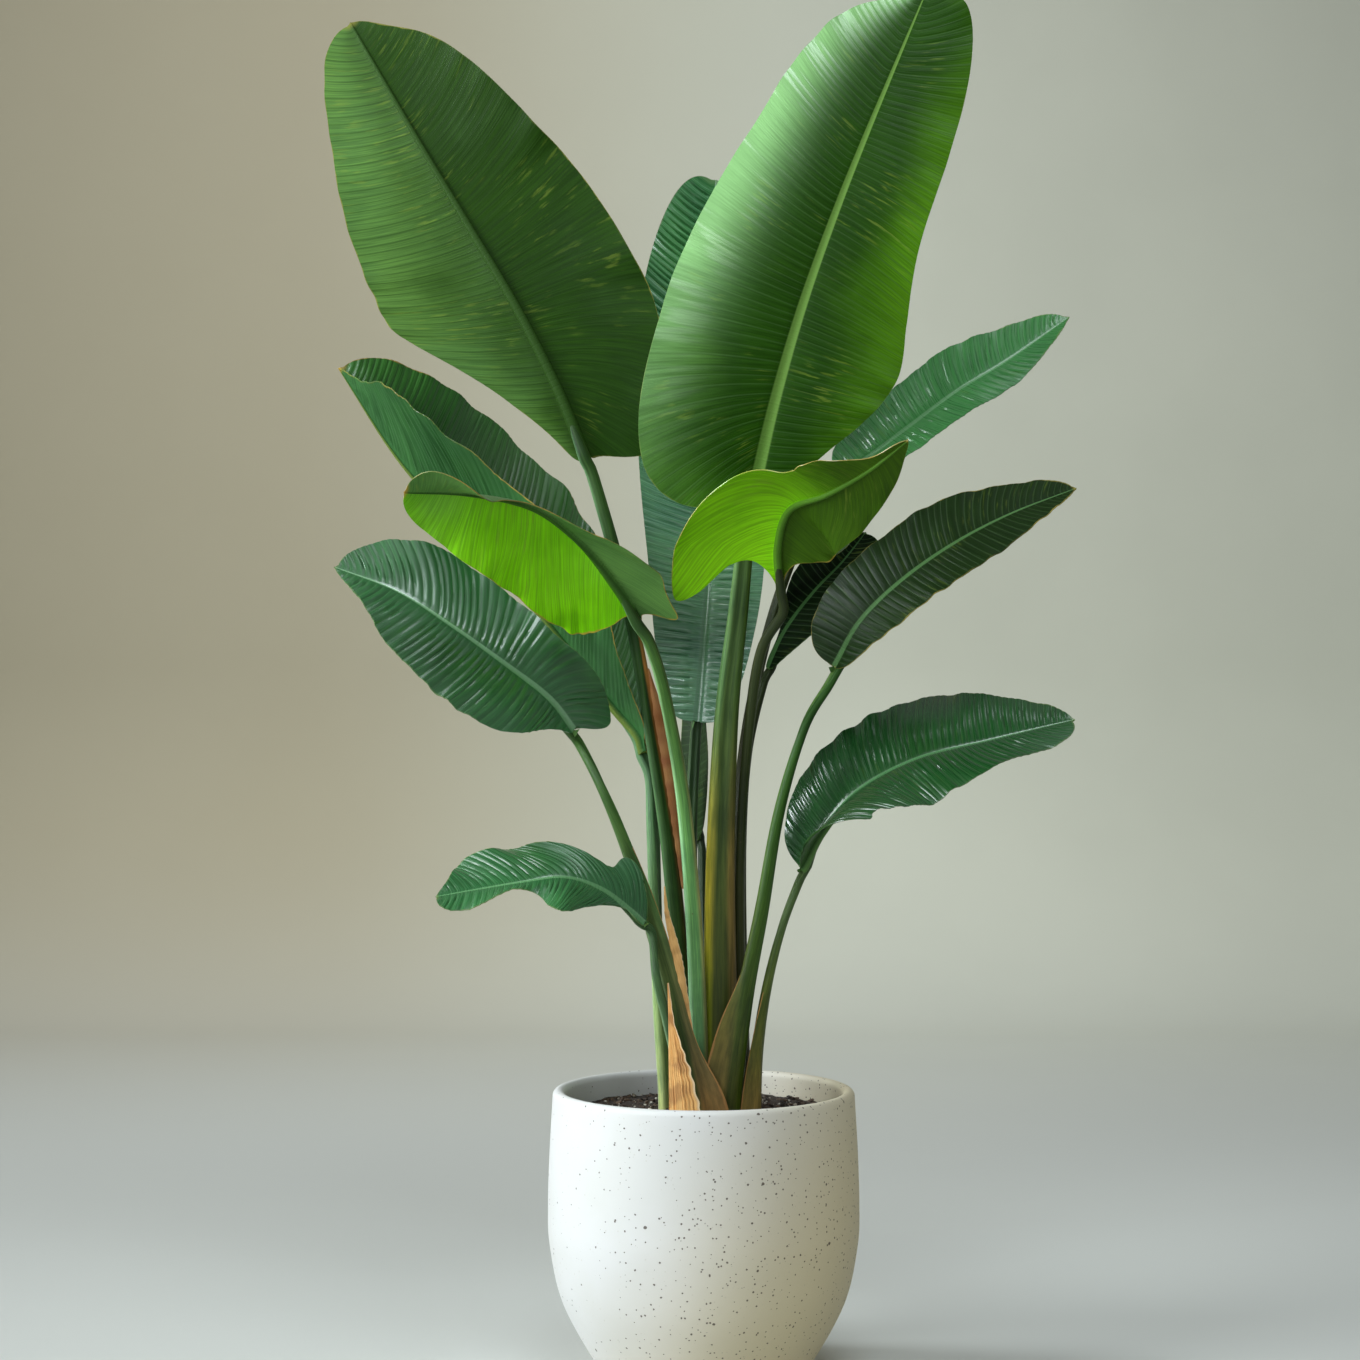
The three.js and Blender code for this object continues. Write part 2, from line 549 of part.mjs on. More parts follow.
    rib: [[62, 32, 683], [80, 44, 720], [109, 62, 758], [138, 77, 788], [162, 87, 818]],
    face: [[-0.6, -0.7, 0.4], [-0.4, -0.7, 0.5], [-0.2, -0.7, 0.6]],
    halfWidth: [44, 60], skew: 0.72, blunt: 0.42, point: 0.7,
    form: [[0.1, 0.12, 0.5, 0.9, 1, 1], [0.36, 0.6, 0.88, 1, 1, 1]],
    fold: [[8, 8, 8], [8, 8, 8]], curl: [[-10, -10, -10], [-10, -10, -10]],
    sweep: [[0, 16, 36], [0, 16, 36]],
    wave: [2, 2, 0.2], green: 'dark', rows: 10, ribWidth: 6,
    stalk: [[40, 28, 210], [40, 28, 270], [37, 25, 399], [37, 27, 515], [43, 31, 600]],
    outward: [0.8, 0.6], foot: [8, 6], top: 4.4, slim: 1.2, stalkRows: 10,
  },
  // the small wavy blade low at the left
  small_left: {
    rib: [
      [-56, -58, 441], [-70, -70, 455], [-96, -86, 476],
      [-130, -99, 488], [-170, -108, 484], [-248, -114, 471],
    ],
    face: [[0.35, -0.92, 0.3], [0.15, -0.6, 0.8], [-0.1, -0.55, 0.85]],
    halfWidth: [44, 66], skew: 0.66, blunt: 0.5, point: 0.6,
    form: [
      [0.22, 0.09, 1.11, 0.98, 0.41, 0.6, 1.22, 2.06],
      [1.21, 0.47, 0.67, 0.83, 0.83, 0.99, 0.89, 0.55],
    ],
    fold: [[8, 8, 8], [8, 8, 8]], curl: [[-10, -15, -10], [-10, -15, -10]],
    sweep: [[58, 44, 30, 14, 21], [39, 51, 39, 36, 19]],
    wave: [5, 3, 0.2], green: 'deep', rows: 13, ribWidth: 6,
    stalk: [[-25, -39, 210], [-25, -39, 262], [-26, -42, 305], [-35, -50, 348], [-45, -56, 390]],
    outward: [-0.5, -1], foot: [6, 5], top: 4.2, slim: 1.2, stalkRows: 8,
  },
  // the low arched blade at the right
  low_right: {
    rib: [[95, 8, 489], [113, 0, 525], [148, -8, 565], [205, -14, 596], [276, -16, 614], [356, -12, 633]],
    face: [[-0.6, -0.6, 0.4], [-0.35, -0.6, 0.7], [0, -0.6, 0.8]],
    halfWidth: [78, 72], skew: 0.66, blunt: 0.5, point: 0.78,
    form: [[0.79, 0.97, 0.94, 1.05, 1.25, 1.22, 1.3, 1.65], [1.75, 1.1, 0.96, 0.92, 0.83, 0.73, 0.9, 0.91]],
    fold: [[8, 10, 10], [60, 8, 8]], curl: [[-10, -15, -20], [-10, -15, -15]],
    sweep: [[6, 9, 10, 10, 16], [46, 35, 20, 40, 58]],
    wave: [4, 2.5, 0.4], green: 'deep', rows: 13, ribWidth: 6.5,
    stalk: [[49, -13, 210], [49, -13, 265], [52, -14, 320], [61, -10, 378], [75, -2, 432]],
    outward: [0.85, -0.5], foot: [10, 6], top: 4.2, slim: 1.2,
    wings: [[0, 0], [20, 17, 7, 0, 0, 0]], wrap: 400, stalkRows: 10,
  },
  // the narrow dark blade in the middle, behind the stalks
  inner_rear: {
    rib: [[-7, 86, 511], [-12, 102, 562], [-8, 130, 631], [3, 168, 712], [15, 210, 796]],
    face: [[-0.9, -0.5, 0.2], [-0.7, -0.6, 0.4], [-0.4, -0.6, 0.6]],
    halfWidth: [44, 44], skew: 0.75, blunt: 0.5, point: 0.7,
    form: [[0.5, 0.5, 0.4, 0.4, 0.5, 0.5], [0.9, 0.8, 0.45, 0.15, 0.1, 0.1]],
    fold: [[8, 8, 8], [8, 8, 8]], curl: [[-10, -10, -10], [-10, -10, -10]],
    sweep: [[0, 16, 36], [0, 16, 36]],
    wave: [2, 2, 0.2], green: 'dark', rows: 10, ribWidth: 6,
    stalk: [[5, 40, 210], [5, 40, 270], [3, 56, 350], [-1, 74, 430]],
    outward: [0.1, 1], foot: [8, 6], top: 4.2, slim: 1.2, stalkRows: 8,
  },
};

// ---- assembly --------------------------------------------------------------

function paint(color, roughness) {
  return new THREE.MeshStandardMaterial({ color, roughness, metalness: 0 });
}

const plant = new THREE.Group();

function place(name, solid, material) {
  const mesh = new THREE.Mesh(geometryOf(solid), material);
  mesh.name = name;
  plant.add(mesh);
}

const GREENS = { mid: 0x376b2b, fresh: 0x4f8a2f, deep: 0x24562f, bright: 0x6f9c2a, dark: 0x274a22 };
const STALK_GREEN = 0x3c6a33;

const stalks = Object.entries(LEAVES).map(([name, leaf]) => ({ name, leaf, solid: stalk(leaf) }));

place('pot', pot(), paint(0xe6e1d6, 0.55));
place('soil', soil([
  rootCrown(SOIL_CLEARANCE),
  drySheath(1.2 * HOLE_SPARE),
  ...stalks.map(({ leaf }) => stalk(leaf, HOLE_SPARE)),
]), paint(0x2b211b, 0.95));
place('root_crown', rootCrown(0), paint(0xb59a74, 0.8));
place('dry_sheath', drySheath(), paint(0xb9853f, 0.8));
stalks.forEach(({ name, solid }) => place(`stalk_${name}`, solid, paint(STALK_GREEN, 0.45)));
Object.entries(LEAVES).forEach(([name, leaf]) => {
  place(`blade_${name}`, blade(leaf), paint(GREENS[leaf.green], 0.4));
});

export default plant;
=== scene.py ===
import math
import random

import bpy
import numpy as np
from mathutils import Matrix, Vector, noise


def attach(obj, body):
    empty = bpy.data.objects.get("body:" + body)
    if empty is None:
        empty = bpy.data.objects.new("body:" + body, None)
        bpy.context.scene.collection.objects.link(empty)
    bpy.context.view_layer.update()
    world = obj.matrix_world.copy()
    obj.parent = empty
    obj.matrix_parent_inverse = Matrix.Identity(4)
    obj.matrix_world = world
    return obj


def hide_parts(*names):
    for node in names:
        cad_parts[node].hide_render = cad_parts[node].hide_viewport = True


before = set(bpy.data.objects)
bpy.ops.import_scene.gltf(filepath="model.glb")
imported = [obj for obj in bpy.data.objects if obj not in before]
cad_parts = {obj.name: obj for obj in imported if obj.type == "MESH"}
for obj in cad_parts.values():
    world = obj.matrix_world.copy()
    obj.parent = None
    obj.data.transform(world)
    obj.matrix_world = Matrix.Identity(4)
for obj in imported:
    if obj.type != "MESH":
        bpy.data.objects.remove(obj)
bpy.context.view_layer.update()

# ---- camera ----
# It stands level, 2.7 m in front of the pot and as high as the lowest large leaves,
# a little left of the middle, with a long lens.
PHOTO_SIDE = 1360
FOCAL_PIXELS = 2790
SENSOR = 36.0
CAMERA_PLACE = (-0.0228, -2.692, 0.671)

bpy.ops.object.camera_add(location=CAMERA_PLACE, rotation=(math.radians(90), 0, 0))
camera = bpy.context.object
camera.data.sensor_width = SENSOR
camera.data.lens = SENSOR * FOCAL_PIXELS / PHOTO_SIDE
bpy.context.scene.camera = camera

# ---- pot ----
# A thrown stoneware pot with a round belly and a thick rolled rim, dipped in a
# matte off-white glaze through which the iron specks of the clay show.
MM = 0.001
POT_HEIGHT = 277
POT_FOOT_RADIUS = 88
POT_BELLY_RADIUS = 150
POT_RIM_RADIUS = 145.5
POT_WALL = 11.6
POT_FLOOR = 14
POT_SIDES = 128
FOOT_EDGE = 1.5


def add(tree, kind, inputs=(), **settings):
    """A shader node of that kind; its inputs are plain values or other nodes' outputs."""
    made = tree.nodes.new("ShaderNode" + kind)
    for name, value in settings.items():
        setattr(made, name, value)
    for key, value in dict(inputs).items():
        if isinstance(value, bpy.types.NodeSocket):
            tree.links.new(value, made.inputs[key])
        else:
            made.inputs[key].default_value = value
    return made


def calc(tree, operation, a, b=0.5):
    return add(tree, "Math", {0: a, 1: b}, operation=operation).outputs[0]


def times(tree, a, b):
    return calc(tree, "MULTIPLY", a, b)


def plus(tree, a, b):
    return calc(tree, "ADD", a, b)


def ramp(tree, value, low, high, to_low=0.0, to_high=1.0):
    """0 to 1, or to_low to to_high, smoothly, as value goes from low to high."""
    made = add(tree, "MapRange", {"Value": value, "From Min": low, "From Max": high,
                                  "To Min": to_low, "To Max": to_high}, interpolation_type="SMOOTHSTEP")
    return made.outputs["Result"]


def mixed(tree, share, a, b, blend="MIX"):
    """Colour a on its way to colour b; each is red, green and blue, or another node's output."""
    a, b = (c if isinstance(c, bpy.types.NodeSocket) else (*c, 1.0) for c in (a, b))
    return add(tree, "Mix", {0: share, 6: a, 7: b}, data_type="RGBA", blend_type=blend).outputs[2]


def noisy(tree, place, scale, detail=2, rough=0.5, **settings):
    """Uneven soft patches, 1 / scale metres apart, as values about 0.5."""
    inputs = {"Vector": place, "Scale": scale, "Detail": detail, "Roughness": rough}
    return add(tree, "TexNoise", inputs, **settings).outputs["Fac"]


def object_place(tree):
    return add(tree, "TexCoord").outputs["Object"]


def material(name, **plain):
    """A new material with a Principled BSDF whose plain values are set on its own sockets."""
    made = bpy.data.materials.new(name)
    made.use_nodes = True
    skin = made.node_tree.nodes["Principled BSDF"]
    for key, value in plain.items():
        skin.inputs[key.replace("_", " ")].default_value = value
    return made, made.node_tree, skin


def dress(tree, skin, tone, rough, height, strength, distance):
    """Gives a skin its tone, its roughness and a height, which is a share of distance in metres."""
    bump = add(tree, "Bump", {"Height": height, "Strength": strength, "Distance": distance})
    for key, value in {"Base Color": tone, "Roughness": rough, "Normal": bump.outputs["Normal"]}.items():
        tree.links.new(value, skin.inputs[key])


def deselect_all():
    bpy.ops.object.select_all(action="DESELECT")


def settle(piece, name, paints, nodes=(), angle=None):
    """Names a finished piece, gives it its materials, smooths it, hangs it under the root body and hides the
    parts it stands for.
    """
    piece.name = piece.data.name = name
    piece.data.materials.clear()
    for paint in paints:
        piece.data.materials.append(paint)
    deselect_all()
    piece.select_set(True)
    bpy.context.view_layer.objects.active = piece
    if angle is None:
        bpy.ops.object.shade_smooth()
    else:
        bpy.ops.object.shade_smooth_by_angle(angle=math.radians(angle))
    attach(piece, "root")
    if nodes:
        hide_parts(*nodes)


def smooth_line(points, steps):
    """Points along a smooth line through the given ones, which it passes evenly in steps."""
    p = np.array(points, float)
    line = np.vstack([2 * p[:1] - p[1:2], p, 2 * p[-1:] - p[-2:-1]])
    u = np.linspace(0, 1, steps, endpoint=False)[:, None]
    parts = []
    for a, b, c, d in zip(line, line[1:], line[2:], line[3:]):
        start, end = (c - a) / 2, (d - b) / 2
        parts.append((2 * u**3 - 3 * u**2 + 1) * b + (u**3 - 2 * u**2 + u) * start
                     + (3 * u**2 - 2 * u**3) * c + (u**3 - u**2) * end)
    return np.vstack(parts + [p[-1:]])


def faces_out(merge=0.0):
    """Turns the active piece's faces outwards, corners within merge metres made one first."""
    bpy.ops.object.mode_set(mode="EDIT")
    bpy.ops.mesh.select_all(action="SELECT")
    if merge:
        bpy.ops.mesh.remove_doubles(threshold=merge)
    bpy.ops.mesh.normals_make_consistent(inside=False)
    bpy.ops.object.mode_set(mode="OBJECT")


def thrown(profile, sides):
    """A round form drawn up ring by ring from a filled circle, as on a wheel: radius and height in mm."""
    (radius, height), rings = profile[0], profile[1:]
    deselect_all()
    bpy.ops.mesh.primitive_circle_add(vertices=sides, radius=radius * MM, fill_type="NGON",
                                      location=(0, 0, height * MM))
    bpy.ops.object.transform_apply(location=True)
    bpy.ops.object.mode_set(mode="EDIT")
    bpy.ops.mesh.select_all(action="SELECT")
    for next_radius, next_height in rings:
        rise = (next_height - height) * MM
        bpy.ops.mesh.extrude_region_move(TRANSFORM_OT_translate={"value": (0, 0, rise)})
        grow = next_radius / radius
        bpy.ops.transform.resize(value=(grow, grow, 1), center_override=(0, 0, next_height * MM))
        radius, height = next_radius, next_height
    faces_out()
    return bpy.context.object


RIM_ROUND = POT_WALL / 2
RIM_MIDDLE = POT_RIM_RADIUS - RIM_ROUND
RIM_HEIGHT = POT_HEIGHT - RIM_ROUND
NECK_RADIUS = POT_RIM_RADIUS - POT_WALL + 0.5
NECK_HEIGHT = 253

outer_wall = smooth_line([
    (POT_FOOT_RADIUS, FOOT_EDGE),
    (104, 15),
    (136, 73),
    (POT_BELLY_RADIUS - 1.5, 128),
    (POT_BELLY_RADIUS, 168),
    (POT_BELLY_RADIUS - 1.5, 218),
    (POT_RIM_RADIUS, RIM_HEIGHT),
], 7)
inner_wall = smooth_line([
    (POT_RIM_RADIUS - POT_WALL, RIM_HEIGHT),
    (NECK_RADIUS, NECK_HEIGHT),
    (POT_BELLY_RADIUS - POT_WALL, 165),
    (131, 100),
    (112, 52),
    (84, POT_FLOOR + 6),
    (70, POT_FLOOR),
], 4)
rim = [(RIM_MIDDLE + RIM_ROUND * math.cos(turn), RIM_HEIGHT + RIM_ROUND * math.sin(turn))
       for turn in np.linspace(0, math.pi, 13)[1:-1]]
pot = thrown([(POT_FOOT_RADIUS - 40, 0), (POT_FOOT_RADIUS - FOOT_EDGE, 0), *outer_wall, *rim, *inner_wall,
              (30, POT_FLOOR)], POT_SIDES)


def specks(tree, place, spacing, largest, share):
    """1 inside small round specks of many sizes, spacing and largest radius in metres."""
    cells = add(tree, "TexVoronoi", {"Vector": place, "Scale": 1 / spacing}, feature="F1")
    lot = add(tree, "SeparateColor", {0: cells.outputs["Color"]})
    size = ramp(tree, lot.outputs[1], 0, 1, 0.35 * largest / spacing, largest / spacing)
    chosen = calc(tree, "LESS_THAN", lot.outputs[0], share)
    inside = calc(tree, "LESS_THAN", cells.outputs["Distance"], size)
    return times(tree, chosen, inside)


SPECK_WOBBLE = 0.0016
glaze, tree, skin = material("speckled_glaze", Roughness=0.6)
place = object_place(tree)
wobble = add(tree, "TexNoise", {"Vector": place, "Scale": 220, "Detail": 2}).outputs["Color"]
wobble = add(tree, "VectorMath", {0: wobble, 1: [SPECK_WOBBLE] * 3}, operation="MULTIPLY").outputs[0]
moved = add(tree, "VectorMath", {0: place, 1: wobble}, operation="ADD").outputs[0]
clouds = noisy(tree, place, 9, 4)
grain = noisy(tree, place, 900, 3)
sides = add(tree, "SeparateXYZ", {0: place}).outputs
# the glaze has fewer specks at the left, and low at the right it is painted darker and warmer: painted shade
# with warm reflected light
speckled = ramp(tree, sides["X"], -0.14, 0.03, 0.2, 0.9)
dots = calc(tree, "MAXIMUM", specks(tree, moved, 0.0046, 0.001, speckled),
            specks(tree, moved, 0.015, 0.0016, speckled))
faint = specks(tree, moved, 0.0062, 0.0009, 0.7)
# painted shade and warm reflected light, low on the right side of the pot
painted_warm_shade = plus(tree, sides["X"], times(tree, sides["Z"], -0.5))
cream = mixed(tree, ramp(tree, clouds, 0.35, 0.65), (0.68, 0.675, 0.665), (0.65, 0.645, 0.62))
cream = mixed(tree, ramp(tree, painted_warm_shade, -0.17, 0.06), cream, (0.63, 0.54, 0.34))
cream = mixed(tree, times(tree, faint, 0.25), cream, (0.42, 0.37, 0.28))
iron = mixed(tree, grain, (0.03, 0.02, 0.014), (0.11, 0.07, 0.045))
cream = mixed(tree, times(tree, dots, 0.86), cream, iron)
pits = calc(tree, "SUBTRACT", times(tree, grain, 0.25), dots)
dress(tree, skin, cream, ramp(tree, grain, 0.3, 0.7, 0.5, 0.68), pits, 0.5, 0.0004)
settle(pot, "glazed_pot", [glaze], ["pot"])

# ---- root crown ----
# The short fleshy stem that all stalks stand on, with its thick roots, grown into
# the soil: it stays as it is and gets a fibrous pale brown skin.
bark, tree, skin = material("root_skin", Roughness=0.8)
place = object_place(tree)
rings = add(tree, "TexWave", {"Vector": place, "Scale": 60, "Distortion": 6, "Detail": 3},
            bands_direction="Z").outputs["Fac"]
stains = noisy(tree, place, 45, 5)
tan = mixed(tree, stains, (0.5, 0.36, 0.21), (0.28, 0.18, 0.1))
tan = mixed(tree, times(tree, rings, 0.5), tan, (0.18, 0.11, 0.06))
dress(tree, skin, tan, ramp(tree, stains, 0.3, 0.7, 0.65, 0.9), plus(tree, rings, stains), 0.6, 0.0008)
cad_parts["root_crown"].data.materials.clear()
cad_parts["root_crown"].data.materials.append(bark)

# ---- soil ----
# Dark peat pressed into the pot to 24 mm under the rim, a little higher round the
# stalks, with crumbs of bark and pale grains of pumice lying on it.
SOIL_LEVEL = 253
SOIL_CROWN = 3
SOIL_SIDES = 160
SOIL_RINGS = 56
SOIL_EDGE_GAP = 0.9
SOIL_FLOOR_GAP = 0.4
CROWN_RADIUS = 62
CRUMB_MARGIN = 4
CRUMB_TILT = 0.5

reach = NECK_RADIUS - SOIL_EDGE_GAP


def smooth_soil(radius):
    """The height of the soil's smooth form that far from the middle, all in mm."""
    return SOIL_LEVEL + SOIL_CROWN * min(1, (reach - radius) / (reach - CROWN_RADIUS))


below = [(r - SOIL_EDGE_GAP, z + SOIL_FLOOR_GAP) for r, z in inner_wall[::-1] if z < SOIL_LEVEL]
surface = [(r, smooth_soil(r)) for r in np.linspace(reach, 3, SOIL_RINGS)]
soil = thrown([*below, *surface], SOIL_SIDES)


def hummocks(x, y):
    """How far the soil's surface stands above its smooth form there, all in metres."""
    lumps = noise.noise(Vector((x, y, 0)) * 45) * 0.0022
    crumbs = noise.noise(Vector((x, y, 3)) * 260) * 0.0012 + noise.noise(Vector((x, y, 7)) * 620) * 0.0007
    return lumps + crumbs


rise_from = (SOIL_LEVEL - 0.5) * MM
for corner in soil.data.vertices:
    if corner.co.z > rise_from:
        corner.co.z += hummocks(corner.co.x, corner.co.y)

peat, tree, skin = material("peat", Roughness=0.95)
place = object_place(tree)
clods = noisy(tree, place, 160, 6, 0.7)
fibres = add(tree, "TexVoronoi", {"Vector": place, "Scale": 420}).outputs["Distance"]
dark = mixed(tree, clods, (0.012, 0.008, 0.006), (0.055, 0.036, 0.024))
dark = mixed(tree, times(tree, specks(tree, place, 0.004, 0.0009, 0.35), 0.6), dark, (0.3, 0.24, 0.17))
dress(tree, skin, dark, ramp(tree, clods, 0.3, 0.7, 0.8, 1.0), plus(tree, clods, fibres), 0.9, 0.0012)
settle(soil, "potting_soil", [peat], ["soil"])


def crumb(size, flat, seed):
    """One rough grain or chip, its longest half about size in mm, round its own middle."""
    deselect_all()
    bpy.ops.mesh.primitive_ico_sphere_add(subdivisions=1, radius=size * MM)
    made = bpy.context.object
    draw = random.Random(seed)
    for corner in made.data.vertices:
        corner.co *= draw.uniform(0.72, 1.18)
        corner.co.z *= flat
    return made


def strewn(name, moulds, count, seed, paint, sunk):
    """Copies of the moulds lying on the soil between the stalks and the wall, joined in one piece."""
    draw = random.Random(seed)
    parts = []
    while len(parts) < count:
        radius = (reach - CRUMB_MARGIN) * math.sqrt(draw.uniform(0.03, 1))
        turn = draw.uniform(0, 2 * math.pi)
        x, y = radius * MM * math.cos(turn), radius * MM * math.sin(turn)
        mould = draw.choice(moulds)
        copy = bpy.data.objects.new("crumb", mould.data.copy())
        bpy.context.collection.objects.link(copy)
        copy.scale = [draw.uniform(0.5, 1.25)] * 3
        copy.rotation_euler = (draw.uniform(-CRUMB_TILT, CRUMB_TILT), draw.uniform(-CRUMB_TILT, CRUMB_TILT),
                               draw.uniform(0, 6.3))
        copy.location = (x, y, smooth_soil(radius) * MM + hummocks(x, y) + sunk * MM * copy.scale[0])
        parts.append(copy)
    deselect_all()
    for part in parts:
        part.select_set(True)
    bpy.context.view_layer.objects.active = parts[0]
    bpy.ops.object.join()
    bpy.ops.object.transform_apply(location=True, rotation=True, scale=True)
    settle(bpy.context.object, name, [paint], angle=30)
    for mould in moulds:
        bpy.data.objects.remove(mould)


def crumb_paint(name, light, dark_tone, rough):
    """A rough skin, lighter on some crumbs than on others."""
    paint, tree, skin = material(name, Roughness=rough)
    place = object_place(tree)
    grit = noisy(tree, place, 1500, 3)
    tone = mixed(tree, ramp(tree, noisy(tree, place, 90), 0.35, 0.65), dark_tone, light)
    tone = mixed(tree, times(tree, grit, 0.5), tone, dark_tone)
    dress(tree, skin, tone, ramp(tree, grit, 0.3, 0.7, rough - 0.1, rough + 0.1), grit, 0.6, 0.0003)
    return paint


strewn("bark_chips", [crumb(3.4, 0.45, 3), crumb(2.6, 0.6, 4), crumb(4.2, 0.35, 5)], 520, 11,
       crumb_paint("bark_chip", (0.12, 0.07, 0.04), (0.02, 0.013, 0.009), 0.85), 0.7)
strewn("pumice_grains", [crumb(1.3, 0.8, 6), crumb(1.8, 0.75, 8)], 240, 12,
       crumb_paint("pumice", (0.62, 0.58, 0.5), (0.24, 0.2, 0.15), 0.85), 1.0)

# ---- stalks ----
# Thirteen leaf stalks stand in the crown, each one an oval rod that gets rounder and
# slimmer upwards, grooved on its inner side, with thin clasping margins near the foot.
CLEARANCE = 0.3
BLADE_SEAT = 0.9
STALK_SIDES = 32
STALK_STEPS = 84
TAIL_STEPS = 12
SLIMMING = 1.2
GROOVE = 0.42
WING_WRAP = 60
WING_SHARPNESS = 7
WING_THIN_AT = 8

